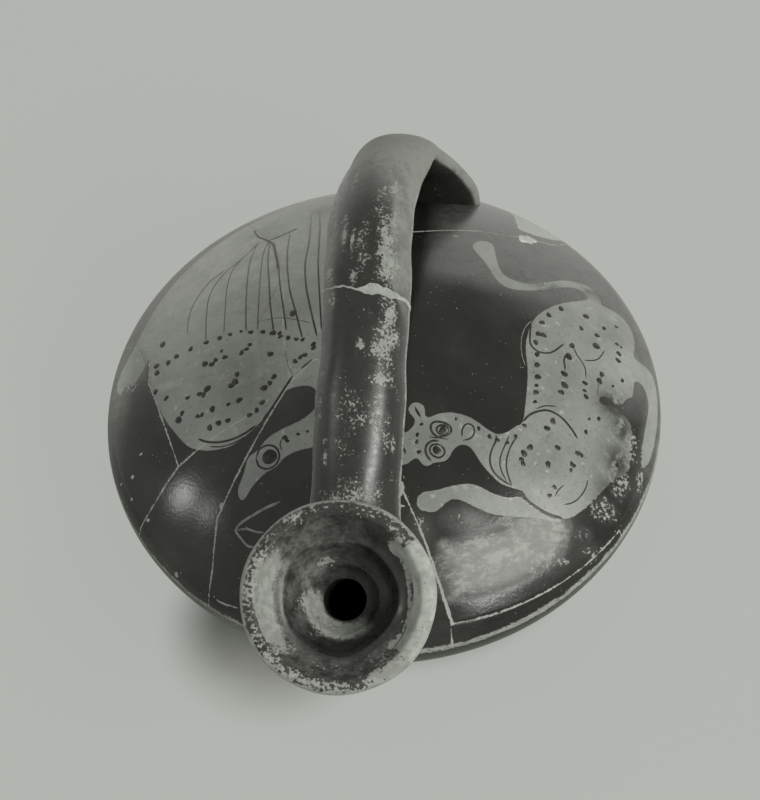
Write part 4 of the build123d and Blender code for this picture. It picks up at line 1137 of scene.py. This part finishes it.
fill_turns = np.radians([FILL_FROM - 0.05, FILL_FROM + 0.05, FILL_TO - 0.05, FILL_TO + 0.05])
even_turns = np.linspace(0, FULL_TURN, SPOUT_TURNS, endpoint=False)
spout_turn = np.sort(np.concatenate([even_turns, fill_turns % FULL_TURN]))
spout_bearing = (spout_turn + math.pi) % FULL_TURN - math.pi
in_fill = (spout_bearing > math.radians(FILL_FROM)) & (spout_bearing < math.radians(FILL_TO))
lip_rows = np.flatnonzero(spout_outline[:, 0] > FILL_RADIUS)
lip_first, lip_last = lip_rows[0] - 1, lip_rows[-1] + 1
cut_outline = spout_outline.copy()
cut_share = np.linspace(0, 1, lip_last - lip_first + 1)[:, None]
cut_outline[lip_first : lip_last + 1] = (
    (1 - cut_share) * spout_outline[lip_first] + cut_share * spout_outline[lip_last]
)
cut_outline[lip_rows, 0] = np.minimum(cut_outline[lip_rows, 0], FILL_RADIUS)
outline_of = np.where(in_fill[None, :, None], cut_outline[:, None], spout_outline[:, None])
radius_of = outline_of[..., 0] * out_of_round(spout_turn)
depth_of = outline_of[..., 1] + lip_sway(spout_turn) * np.clip(1 + outline_of[..., 1] / 6.0, 0, 1)
in_stage = soft_step(spout_outline[:, :1], 4.4, 6.4) * soft_step(spout_outline[:, :1], 11.4, 9.6)
in_stage[len(inside_outline) :] = 0
radius_of += in_stage * (0.20 * np.sin(3 * spout_turn + 0.5) + 0.12 * np.sin(5 * spout_turn + 1.9))
depth_of += in_stage * (0.22 * np.sin(2 * spout_turn + 2.0) + 0.10 * np.sin(6 * spout_turn))
trial = np.linspace(-14.0, -NECK_END, TRIALS)[:, None]
for ring_radius, rows in ((BORE, slice(0, BORE_ROWS)), (ROOT_RADIUS, slice(-NECK_ROWS, None))):
    ring = on_spout(ring_radius + 0 * (trial + spout_turn), trial + 0 * spout_turn, spout_turn)
    sunk = below_dome(ring) > SEAT
    seat_depth = trial[np.argmax(sunk, axis=0), 0]
    depth_of[rows] = np.maximum(depth_of[rows], seat_depth)
spout_grid = on_spout(radius_of, depth_of, spout_turn)
spout_numbers = np.arange(spout_grid.shape[0] * spout_grid.shape[1]).reshape(spout_grid.shape[:2])
spout_wrapped = np.column_stack([spout_numbers, spout_numbers[:, :1]])
spout_wrapped = np.concatenate([spout_wrapped, spout_wrapped[:1]])


def mouth_marks(radius, depth, turn):
    """Wear of the mouth. Rubbed: the lip, more at its lower left and beside the fill, the left of the bowl
    and of the throat. Dusty: the same left sides under a thick dull film, the rest of the bowl thinly."""
    bearing = (turn + math.pi) % FULL_TURN - math.pi
    front = 0.5 - 0.5 * np.sin(turn + 0.35)
    left = np.clip(-np.cos(turn - 0.75), 0, 1)
    low_left = soft_step(-np.cos(turn - 1.05), -0.1, 0.7)
    at_lip = depth > -3.2
    lip = bell(radius, 13.5, 1.3) * at_lip
    rim_line = bell(radius, 14.6, 0.32) * (depth > -1.8)
    crescent = soft_step(radius, 3.3, 3.9) * soft_step(radius, 6.9, 5.4) * low_left * (depth < -6)
    stage = bell(radius, 7.2, 1.3) * (0.15 + 0.45 * left) * (depth < -4)
    flecks = bell(radius, 6.2, 1.0) * bell(bearing, 2.1, 0.35) * (depth < -4)
    in_bowl = (depth > -4.6) * (depth < -0.05)
    left_wall = bell(radius, 11.2, 1.3) * soft_step(-np.cos(turn - 0.15), 0.60, 0.96) * in_bowl
    bowl = bell(radius, 10.6, 1.6) * front * (depth > -5)
    inner_end = 10.9 - 0.5 * np.sin(6.0 * turn + 0.6)
    beside_fill = bell(radius, inner_end, 0.7) * soft_step(np.cos(turn), 0.70, 0.80) * at_lip
    blob = bell(radius, 11.2, 1.3) * bell(bearing, 0.80, 0.10) * at_lip
    low_end = bell(radius, 13.0, 2.0) * bell(bearing, -0.84, 0.22) * at_lip
    strap_side = bell(radius, 14.5, 0.4) * soft_step(np.sin(turn + 0.1), 0.72, 0.95) * (depth > -2.4)
    worn = lip * (0.52 + 0.22 * front) + 0.5 * stage + 0.36 * bowl + 0.9 * beside_fill + 0.95 * crescent
    worn += 0.95 * rim_line + 1.3 * blob + 0.6 * low_end + 0.95 * left_wall + 0.8 * flecks
    worn += 0.25 * strap_side
    upper_left = np.clip(-np.cos(turn + 0.5), 0, 1)
    hollow = soft_step(-depth, 0.1, 0.8) * soft_step(-depth, 13.0, 9.0) * (radius < 12.9)
    low_bowl = soft_step(-np.sin(turn), 0.2, 0.8) * soft_step(radius, 8.8, 10.2)
    film = hollow * (0.06 + 0.42 * upper_left + 0.26 * low_bowl) + 0.10 * (1 - hollow)
    films = [film, 1.7 * left_wall, 1.2 * crescent, 0.6 * rim_line, 0.8 * strap_side]
    return {
        "rubbed": np.clip(worn, 0, 1.4).ravel() - 0.12,
        "dust_and_sheen": np.maximum.reduce(films).ravel(),
    }


spout = make_piece(
    "thrown_spout",
    spout_grid.reshape(-1, 3),
    [quads(spout_wrapped)],
    mouth_marks(radius_of, depth_of, spout_turn + 0 * depth_of),
    black_gloss("spout_gloss", speck=2000.0, roughness=0.22, patchy=0.6),
    "black_gloss",
)
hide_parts("spout")

# Lip fill: pale plaster that the mender set in the lost right side of the lip.
# It keeps the section of the lip but is duller, a little low, and smeared at its ends.
FILL_TURNS = 60
PLASTER_PALE = (0.52, 0.54, 0.508, 1)
PLASTER_GREY = (0.37, 0.385, 0.36, 1)
PLASTER_STAIN = (0.20, 0.207, 0.19, 1)
PLASTER_PIT = (0.10, 0.10, 0.09, 1)
PLASTER_BUMP, PIT_DEPTH = 0.5, 0.00008


def mend_plaster(name, pale, grey):
    """Dull pale plaster: cloudy pale and grey, stained and pitted, rough."""
    made, tree, place = new_material(name)
    cloud = grain(tree, place, 420.0, 5.0, 0.65)
    pits = grain(tree, place, 2200.0, 3.0, 0.5)
    colour = blend(tree, step(tree, cloud, 0.38, 0.62), grey, pale)
    stain = times(tree, step(tree, grain(tree, place, 190.0, 5.0, 0.7), 0.54, 0.68), 0.45)
    colour = blend(tree, stain, colour, PLASTER_STAIN)
    colour = blend(tree, step(tree, pits, 0.66, 0.74), colour, PLASTER_PIT)
    rough = plus(tree, times(tree, cloud, 0.2), 0.6)
    surface(tree, colour, rough, pits, PLASTER_BUMP, PIT_DEPTH)
    return made


PLASTER = mend_plaster("mend_plaster", PLASTER_PALE, PLASTER_GREY)
fill_turn = np.radians(np.linspace(FILL_FROM, FILL_TO, FILL_TURNS))
fill_outline = spout_outline[lip_first : lip_last + 1]
fill_radius = fill_outline[:, :1] * out_of_round(fill_turn)
fill_depth = fill_outline[:, 1:] + lip_sway(fill_turn) - 0.12 - 0.08 * np.sin(9 * fill_turn)
fill_grid = on_spout(fill_radius, fill_depth, fill_turn[None] + 0 * fill_depth).transpose(1, 0, 2)
fill_points, fill_faces = capped(fill_grid, fill_grid[[0, -1]].mean(1))
lip_fill = make_piece("lip_fill", fill_points, fill_faces, {}, PLASTER, "mend_plaster")
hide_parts("rim_fill")

# Strap handle: a pulled bar of clay with an arched back, pressed on behind the lip and on the rear shoulder.
# It broke across and was glued; a wedge of plaster fills the break, wide on the right.
STRAP_WIDTH = 13.4
STRAP_BACK_WIDTH = 11.9
STRAP_THICK = 5.6
STRAP_FOOT = (20.0, 7.0)
BACK_SHIFT, FOOT_SHIFT = 1.0, 3.0
CROWN_Y = 3.0
BACK_INSET, BACK_DROP = 14.4, 13.0
FOOT_INSET, FOOT_END_INSET, FOOT_SINK = 4.6, 4.4, 1.5
ARCH_RISE = 1.875
ARCH_SWAY = 1.3
STRAP_ROOT = (13.8, 6.4)
HANDLE_TOP = 62.5
MEND_Y = -8.2
MEND_NARROW, MEND_WIDE = 0.3, 1.9
STRAP_COLUMNS = 120
mouth_line = MOUTH * np.array([0, 1, 1])
strap_knots = np.array([
    mouth_line + SPOUT_BACK * (MOUTH_RADIUS * 0.6) - SPOUT_UP * STRAP_THICK,
    mouth_line + SPOUT_BACK * (MOUTH_RADIUS + LIP_DEPTH) - SPOUT_UP * (LIP_DEPTH + LIP_ROUND),
    (0, CROWN_Y, HANDLE_TOP - STRAP_THICK / 2),
    (BACK_SHIFT, BODY_RADIUS - BACK_INSET, HANDLE_TOP - STRAP_THICK / 2 - BACK_DROP),
    (FOOT_SHIFT, BODY_RADIUS - FOOT_INSET, WIDEST + SHOULDER),
    (FOOT_SHIFT, BODY_RADIUS - FOOT_END_INSET, WIDEST - FOOT_SINK),
])
strap_middle_width = (STRAP_WIDTH + STRAP_BACK_WIDTH) / 2
strap_flare = ((STRAP_BACK_WIDTH + STRAP_FOOT[0]) / 2, STRAP_THICK)
strap_sections = np.array(
    [STRAP_ROOT] * 2
    + [(STRAP_ROOT[0], STRAP_THICK)]
    + [(STRAP_WIDTH, STRAP_THICK)] * 4
    + [(strap_middle_width, STRAP_THICK)] * 2
    + [(STRAP_BACK_WIDTH, STRAP_THICK)] * 2
    + [strap_flare]
    + [STRAP_FOOT] * 2
)


def bent_through(knots, at, places):
    """Natural cubic spline through knots at given parameters, read at places.
    Its second slopes solve the usual three term rows."""
    gap = np.diff(at)
    rows = np.eye(len(at))
    right = np.zeros_like(knots)
    for k in range(1, len(at) - 1):
        rows[k, k - 1 : k + 2] = gap[k - 1] / 6, (gap[k - 1] + gap[k]) / 3, gap[k] / 6
        right[k] = (knots[k + 1] - knots[k]) / gap[k] - (knots[k] - knots[k - 1]) / gap[k - 1]
    second = np.linalg.solve(rows, right)
    k = np.clip(np.searchsorted(at, places) - 1, 0, len(at) - 2)
    h = gap[k][..., None]
    a, b = ((at[k + 1] - places) / gap[k])[..., None], ((places - at[k]) / gap[k])[..., None]
    bent = ((a**3 - a) * second[k] + (b**3 - b) * second[k + 1]) * h**2 / 6
    return a * knots[k] + b * knots[k + 1] + bent


strap_at = np.concatenate([[0], np.cumsum(np.linalg.norm(np.diff(strap_knots, axis=0), axis=1))])
strap_at /= strap_at[-1]
section_at = np.linspace(0, 1, len(strap_sections))
strap_turn = np.linspace(0, FULL_TURN, STRAP_COLUMNS, endpoint=False)


def on_strap(along, turn, swell=0.0):
    """Place on the strap: its centre line at a share along it, plus a section square to the line.
    The section is a round arch over a nearly flat underside, and turns oval on the rear leg."""
    centre = bent_through(strap_knots, strap_at, along)
    ahead = bent_through(strap_knots, strap_at, np.clip(along + 1e-3, 0, 1.001))
    back = bent_through(strap_knots, strap_at, np.clip(along - 1e-3, -0.001, 1))
    slope = (ahead - back)[..., 1:]
    slope = slope / np.hypot(slope[..., 0], slope[..., 1])[..., None]
    half, thick = np.moveaxis(bent_through(strap_sections, section_at, along) / 2 + swell, -1, 0)
    wave = 0.10 * np.sin(37 * along + 1.0) + 0.06 * np.sin(71 * along)
    rise = ARCH_RISE * thick
    curve = (half**2 + rise**2) / (2 * rise)
    arched = thick - curve + np.sqrt(curve**2 - (half * np.cos(turn)) ** 2)
    under = thick - rise + (rise - 2 * thick) * np.sqrt(np.clip(-np.sin(turn), 0, 1))
    strap_shape = np.where(np.sin(turn) > 0, arched, under)
    out = strap_shape + soft_step(along, 0.58, 0.74) * (thick * np.sin(turn) - strap_shape)
    sway = ARCH_SWAY * bell(along, 0.50, 0.14)
    x = centre[..., 0] - sway + (half + wave) * np.cos(turn)
    return np.stack([x, centre[..., 1] - out * slope[..., 1], centre[..., 2] + out * slope[..., 0]], -1)


def first_true(flags):
    """Row of the first true flag in each column."""
    return np.argmax(flags, axis=0)


search = np.linspace(0, 1, 4001)[:, None]
strap_trial = on_strap(search + 0 * strap_turn, strap_turn + 0 * search)
from_mouth = strap_trial - MOUTH
trial_depth = from_mouth @ SPOUT_UP
trial_radius = np.hypot(from_mouth @ SPOUT_RIGHT, from_mouth @ SPOUT_BACK)
outside_radius = np.interp(-trial_depth, -outside_outline[5:, 1], outside_outline[5:, 0])
clear_of_spout = (trial_radius > outside_radius - 0.7) & (search > 0.01)
root_at = search[first_true(clear_of_spout), 0]
mend_x = strap_trial[..., 0]
mend_share = soft_step(mend_x, -1.8, 0.3) * (1 - 0.7 * soft_step(mend_x, 2.0, 5.4))
mend_gap = MEND_NARROW + (MEND_WIDE - MEND_NARROW) * mend_share * (0.85 + 0.2 * np.sin(2.1 * mend_x))
mend_bend = 0.6 + 2.2 * (np.clip(mend_x, -9, 0) / 6.7) ** 2 + 0.10 * np.clip(mend_x - 0.6, 0, 9)
mend_line = MEND_Y + mend_bend + 0.16 * np.sin(1.3 * mend_x) + 0.07 * np.sin(4.7 * mend_x)
mend_front_at = search[first_true(strap_trial[..., 1] > mend_line - mend_gap / 2), 0]
mend_rear_at = search[first_true(strap_trial[..., 1] > mend_line + mend_gap / 2), 0]
shell_run = np.linspace(DOME_RUN * 0.6, ARRIS_RUN, 400)
shell_line = on_dome(np.stack([shell_run, 0 * shell_run], 1))
shell_radius = np.interp(-strap_trial[..., 2], -shell_line[:, 2], shell_line[:, 0])
trial_away = np.hypot(strap_trial[..., 0], strap_trial[..., 1])
in_shell = (trial_away < shell_radius - 0.6) & (strap_trial[..., 2] < shell_line[0, 2]) & (search > 0.6)
foot_at = np.where(in_shell.any(0), search[first_true(in_shell), 0], 1.0)

STRAP_FLAKES = [
    (0.39, 0.46, 0.075, 0.26, 0.86), (0.40, -0.10, 0.060, 0.20, 0.52), (0.47, -0.82, 0.090, 0.12, 0.72),
    (0.53, -0.48, 0.050, 0.12, 0.70), (0.345, -0.27, 0.012, 0.10, 0.90), (0.30, 0.60, 0.022, 0.16, 0.85),
    (0.27, 0.70, 0.030, 0.14, 0.70), (0.212, 0.47, 0.014, 0.30, 0.85), (0.255, 0.45, 0.045, 0.26, 0.68),
    (0.257, -0.03, 0.008, 0.12, 0.90), (0.108, -0.66, 0.012, 0.08, 1.00), (0.133, -0.68, 0.006, 0.06, 0.90),
    (0.132, 0.80, 0.014, 0.06, 0.90), (0.070, 0.10, 0.020, 0.70, 0.62), (0.32, -0.75, 0.020, 0.12, 0.65),
    (0.36, -0.85, 0.020, 0.10, 0.70), (0.47, 0.30, 0.040, 0.30, 0.50), (0.405, -0.33, 0.025, 0.05, 0.90),
    (0.17, 0.40, 0.050, 0.20, 0.40), (0.19, -0.86, 0.060, 0.08, 0.55), (0.20, 0.30, 0.140, 0.60, 0.30),
    (0.05, -0.30, 0.030, 0.60, 0.55), (0.44, 0.62, 0.050, 0.16, 0.70), (0.50, 0.55, 0.040, 0.14, 0.62),
    (0.42, -0.55, 0.030, 0.10, 0.75), (0.235, 0.62, 0.030, 0.14, 0.72), (0.15, 0.66, 0.030, 0.10, 0.62),
    (0.16, -0.20, 0.080, 0.50, 0.36),
]


def strap_wear(along, turn):
    """Rubbing of the strap: soft ovals by shares along and across its upper side, and both its edges."""
    across = np.cos(turn)
    ovals = soft_patches(np.stack([along.ravel(), across.ravel()], 1), STRAP_FLAKES).reshape(along.shape)
    edges = 0.85 * soft_step(across, 0.955, 0.985) + 0.6 * soft_step(-across, 0.955, 0.985)
    return ovals * soft_step(np.sin(turn), 0.0, 0.1) + edges * soft_step(along, 0.62, 0.56) - 0.04


def strap_dust_and_sheen(along, turn):
    """Dull grey film on the strap, partly dust and partly painted reflection of the lamps and the pale sheet:
    a stripe along each edge of its upper side, the right one wide behind the mend,
    the arch, and the right edge of the rear leg."""
    across = np.cos(turn)
    behind_mend = soft_step(along, 0.29, 0.36)
    right = soft_step(across - 0.86 + 0.40 * behind_mend, 0.0, 0.14) * (0.45 + 0.55 * behind_mend)
    left = 0.6 * soft_step(-across, 0.84, 0.95)
    arch = 1.5 * soft_step(along + 0.06 * across, 0.46, 0.62)
    leg = soft_step(along, 0.60, 0.68) * soft_step(across, 0.90, 0.97)
    above = np.maximum.reduce([right, left, arch, 0.06 + 0 * across]) * soft_step(np.sin(turn), 0.0, 0.2)
    return np.maximum(above, 1.4 * leg)


STRAP_GLOSS = black_gloss("strap_gloss", speck=2300.0, roughness=0.24)


def make_strap(name, start, end, material, slot, rows, swell=0.0):
    """A stretch of the strap between two slanted ends, each closed by a cap."""
    share = np.linspace(0, 1, rows)[:, None]
    along = start + share * (end - start)
    places = (along, strap_turn + 0 * along)
    grid = on_strap(*places, swell)
    points, faces = capped(grid, grid[[0, -1]].mean(1))
    marks = {
        "rubbed": np.append(strap_wear(*places).ravel(), [0, 0]),
        "dust_and_sheen": np.append(strap_dust_and_sheen(*places).ravel(), [0, 0]),
    }
    return make_piece(name, points, faces, marks, material, slot)


strap_front = make_strap("strap_front", root_at, mend_front_at, STRAP_GLOSS, "black_gloss", rows=150)
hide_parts("handle_front")
strap_rear = make_strap("strap_rear", mend_rear_at, foot_at, STRAP_GLOSS, "black_gloss", rows=280)
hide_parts("handle_rear")
strap_fill = make_strap("strap_fill", mend_front_at, mend_rear_at, PLASTER, "mend_plaster", rows=10, swell=0.1)
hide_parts("handle_fill")

# Rear plug: a dab of plaster in a hole on the rear break, where two sherds lost their edge.
# The mender pressed it in from outside and left it a little proud.
PLUG_MIDDLE = (0.475, 0.665)
PLUG_RADIUS = 1.6
PLUG_TURNS = 36
PLUG_ROOT, PLUG_CROWN = WALL - 0.2, -0.18
CHALK_PALE = (0.80, 0.83, 0.79, 1)
CHALK_GREY = (0.66, 0.685, 0.65, 1)
plug_turn = np.linspace(0, FULL_TURN, PLUG_TURNS, endpoint=False)
plug_uneven = 1 + 0.22 * np.sin(2 * plug_turn + 0.4) + 0.13 * np.sin(5 * plug_turn)
plug_middle = unrolled(np.array(PLUG_MIDDLE) * BODY_RADIUS)
plug_share = np.array([0.9, 1.0, 0.92, 0.6, 0.3])
plug_depth = np.array([PLUG_ROOT, 0.05, -0.10, -0.16, PLUG_CROWN])
plug_round = np.stack([np.cos(plug_turn), np.sin(plug_turn)], -1)
plug_flat = plug_middle + (PLUG_RADIUS * plug_share[:, None] * plug_uneven)[..., None] * plug_round
plug_grid = on_dome(plug_flat, plug_depth[:, None] + 0 * plug_turn)
plug_hubs = on_dome(np.stack([plug_middle, plug_middle]), np.array([PLUG_ROOT, PLUG_CROWN]))
plug_points, plug_faces = capped(plug_grid, plug_hubs)
CHALK = mend_plaster("chalky_plaster", CHALK_PALE, CHALK_GREY)
plug = make_piece("rear_plug", plug_points, plug_faces, {}, CHALK, "mend_plaster")
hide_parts("rear_patch")

# Studio: one pale sheet laid flat under the vessel and bent up behind it, with soft lamps.
# The camera sees it evenly pale with a soft shadow at the foot, and the gloss mirrors its rear part as white.
SHEET_COLOUR = (0.480, 0.497, 0.466, 1)
SHEET_CLOUD = (0.4704, 0.48706, 0.45668, 1)
SHEET_EVEN = 0.85
FLOOR_SHADOWS = [((0.0, 0.0, 0.0), 0.034, 0.0415), ((-0.016, -0.033, 0.0), 0.008, 0.020)]
SHEET_GLARE = (1.0, 1.0, 0.95, 1)
SHEET_WHITE_FROM = (-0.03, 0.12)
SHEET_HALF = 2400.0
SHEET_BEND = 1180.0
SHEET_CURVE = 336.0
SHEET_RISE = 448.0
sheet_line = np.concatenate([
    np.stack([np.linspace(-SHEET_HALF, SHEET_BEND, 20), np.zeros(20)], 1),
    arc((SHEET_BEND, SHEET_CURVE), SHEET_CURVE, -90, 0, 24)[1:],
    np.array([[SHEET_BEND + SHEET_CURVE, SHEET_CURVE + SHEET_RISE]]),
])
sheet_x = np.linspace(-SHEET_HALF, SHEET_HALF, 12)
sheet_grid = np.stack([
    sheet_x[None, :] + 0 * sheet_line[:, :1],
    sheet_line[:, :1] + 0 * sheet_x[None, :],
    sheet_line[:, 1:] + 0 * sheet_x[None, :],
], -1)
sheet_numbers = np.arange(len(sheet_line) * len(sheet_x)).reshape(len(sheet_line), len(sheet_x))
sheet_mesh = bpy.data.meshes.new("paper_sheet")
sheet_mesh.from_pydata((sheet_grid.reshape(-1, 3) * MM).tolist(), [], quads(sheet_numbers).tolist())
sheet_mesh.shade_smooth()


def paper_sheet():
    """Matt paper. Camera rays see it as even as SHEET_EVEN says, except in the floor shadows, each with its
    middle and the distances of full and of no shadow. Glossy rays see the part behind the vessel as white."""
    made, tree, place = new_material("paper_sheet")
    tint = blend(tree, grain(tree, place, 9.0, 3.0, 0.5), SHEET_COLOUR, SHEET_CLOUD)
    matt = add_node(tree, "ShaderNodeBsdfDiffuse", {"Color": tint})
    pale = add_node(tree, "ShaderNodeEmission", {"Color": tint, "Strength": 1.0})
    white = add_node(tree, "ShaderNodeEmission", {"Color": SHEET_GLARE, "Strength": 1.0})
    path = add_node(tree, "ShaderNodeLightPath")
    open_floor = 1.0
    for middle, full, none in FLOOR_SHADOWS:
        distance = add_node(tree, "ShaderNodeVectorMath", {0: place, 1: middle}, operation="DISTANCE")
        open_floor = maths(tree, "MINIMUM", open_floor, step(tree, distance.outputs["Value"], full, none))
    seen = times(tree, path.outputs["Is Camera Ray"], times(tree, open_floor, SHEET_EVEN))
    depth = add_node(tree, "ShaderNodeSeparateXYZ", {0: place}).outputs["Y"]
    mirrored = times(tree, path.outputs["Is Glossy Ray"], step(tree, depth, *SHEET_WHITE_FROM))
    mixed = matt
    for share, other in ((seen, pale), (mirrored, white)):
        mixed = add_node(tree, "ShaderNodeMixShader", {0: share, 1: mixed.outputs[0], 2: other.outputs[0]})
    add_node(tree, "ShaderNodeOutputMaterial", {"Surface": mixed.outputs[0]})
    return made


sheet_mesh.materials.append(paper_sheet())
sheet = bpy.data.objects.new("paper_sheet", sheet_mesh)
bpy.context.scene.collection.objects.link(sheet)

scene = bpy.context.scene
scene.view_settings.view_transform = "Standard"
WORLD_LIGHT = (0.50, 0.505, 0.47, 1)
WORLD_STRENGTH = 0.75
LAMP_COLOUR = (1.0, 1.0, 0.96)
LAMP_AIM = np.array([0, 0, 0.03])
LAMPS = [
    ("key_lamp", 58.0, 39.0, 0.85, 0.52, 0.17, 4.0),
    ("side_lamp", -83.0, 25.0, 0.80, 0.055, 0.06, 0.20),
    ("low_side_lamp", -74.0, 31.0, 0.80, 0.045, 0.045, 0.07),
]
scene.world = bpy.data.worlds.new("studio")
scene.world.use_nodes = True
scene.world.node_tree.nodes["Background"].inputs["Color"].default_value = WORLD_LIGHT
scene.world.node_tree.nodes["Background"].inputs["Strength"].default_value = WORLD_STRENGTH


def facing(right, up, away, middle):
    """World matrix of a lamp or a camera at middle that looks along the opposite of away."""
    return Matrix([*np.column_stack([right, up, away, middle]).tolist(), [0, 0, 0, 1]])


def outward(azimuth_turn, height_turn):
    """Direction from the vessel by azimuth (0 in front, a quarter turn at its right) and height."""
    level = math.cos(height_turn)
    return np.array([math.sin(azimuth_turn) * level, -math.cos(azimuth_turn) * level, math.sin(height_turn)])


def add_lamp(name, azimuth_angle, height_angle, distance, wide, tall, power):
    """A soft lamp that looks at the vessel from an azimuth and a height in degrees; sizes are in metres."""
    lamp = bpy.data.lights.new(name, "AREA")
    lamp.shape = "RECTANGLE"
    lamp.size = wide
    lamp.size_y = tall
    lamp.energy = power
    lamp.color = LAMP_COLOUR
    away = outward(math.radians(azimuth_angle), math.radians(height_angle))
    right = np.cross([0, 0, 1.0], away)
    right /= np.linalg.norm(right)
    placed = bpy.data.objects.new(name, lamp)
    placed.matrix_world = facing(right, np.cross(away, right), away, away * distance + LAMP_AIM)
    scene.collection.objects.link(placed)


for lamp_values in LAMPS:
    add_lamp(*lamp_values)

# Camera: the photograph looks down on the front of the vessel from a little to its right, slightly rolled.
# Its height, azimuth, roll and lens come from a fit of the outline, with the body taken as 92 mm across.
VIEW_HEIGHT = math.radians(56.0)
VIEW_AZIMUTH = math.radians(9.0)
VIEW_ROLL = math.radians(-4.2)
VIEW_DISTANCE = 460.0
VIEW_SHIFT_RIGHT, VIEW_SHIFT_UP = -0.57, 2.17
VIEW_LENS = 124.3
FILM_HEIGHT = 36.0
away = outward(VIEW_AZIMUTH, VIEW_HEIGHT)
level_right = np.array([math.cos(VIEW_AZIMUTH), math.sin(VIEW_AZIMUTH), 0])
level_up = np.cross(away, level_right)
view_right = math.cos(VIEW_ROLL) * level_right + math.sin(VIEW_ROLL) * level_up
view_up = -math.sin(VIEW_ROLL) * level_right + math.cos(VIEW_ROLL) * level_up
aim = np.array([0, 0, WIDEST]) + VIEW_SHIFT_RIGHT * view_right + VIEW_SHIFT_UP * view_up
eye = aim + VIEW_DISTANCE * away
camera = bpy.data.cameras.new("photo_view")
camera.sensor_fit = "VERTICAL"
camera.sensor_height = FILM_HEIGHT
camera.lens = VIEW_LENS
camera.clip_start = 0.01
viewer = bpy.data.objects.new("photo_view", camera)
viewer.matrix_world = facing(view_right, view_up, away, eye * MM)
scene.collection.objects.link(viewer)
scene.camera = viewer
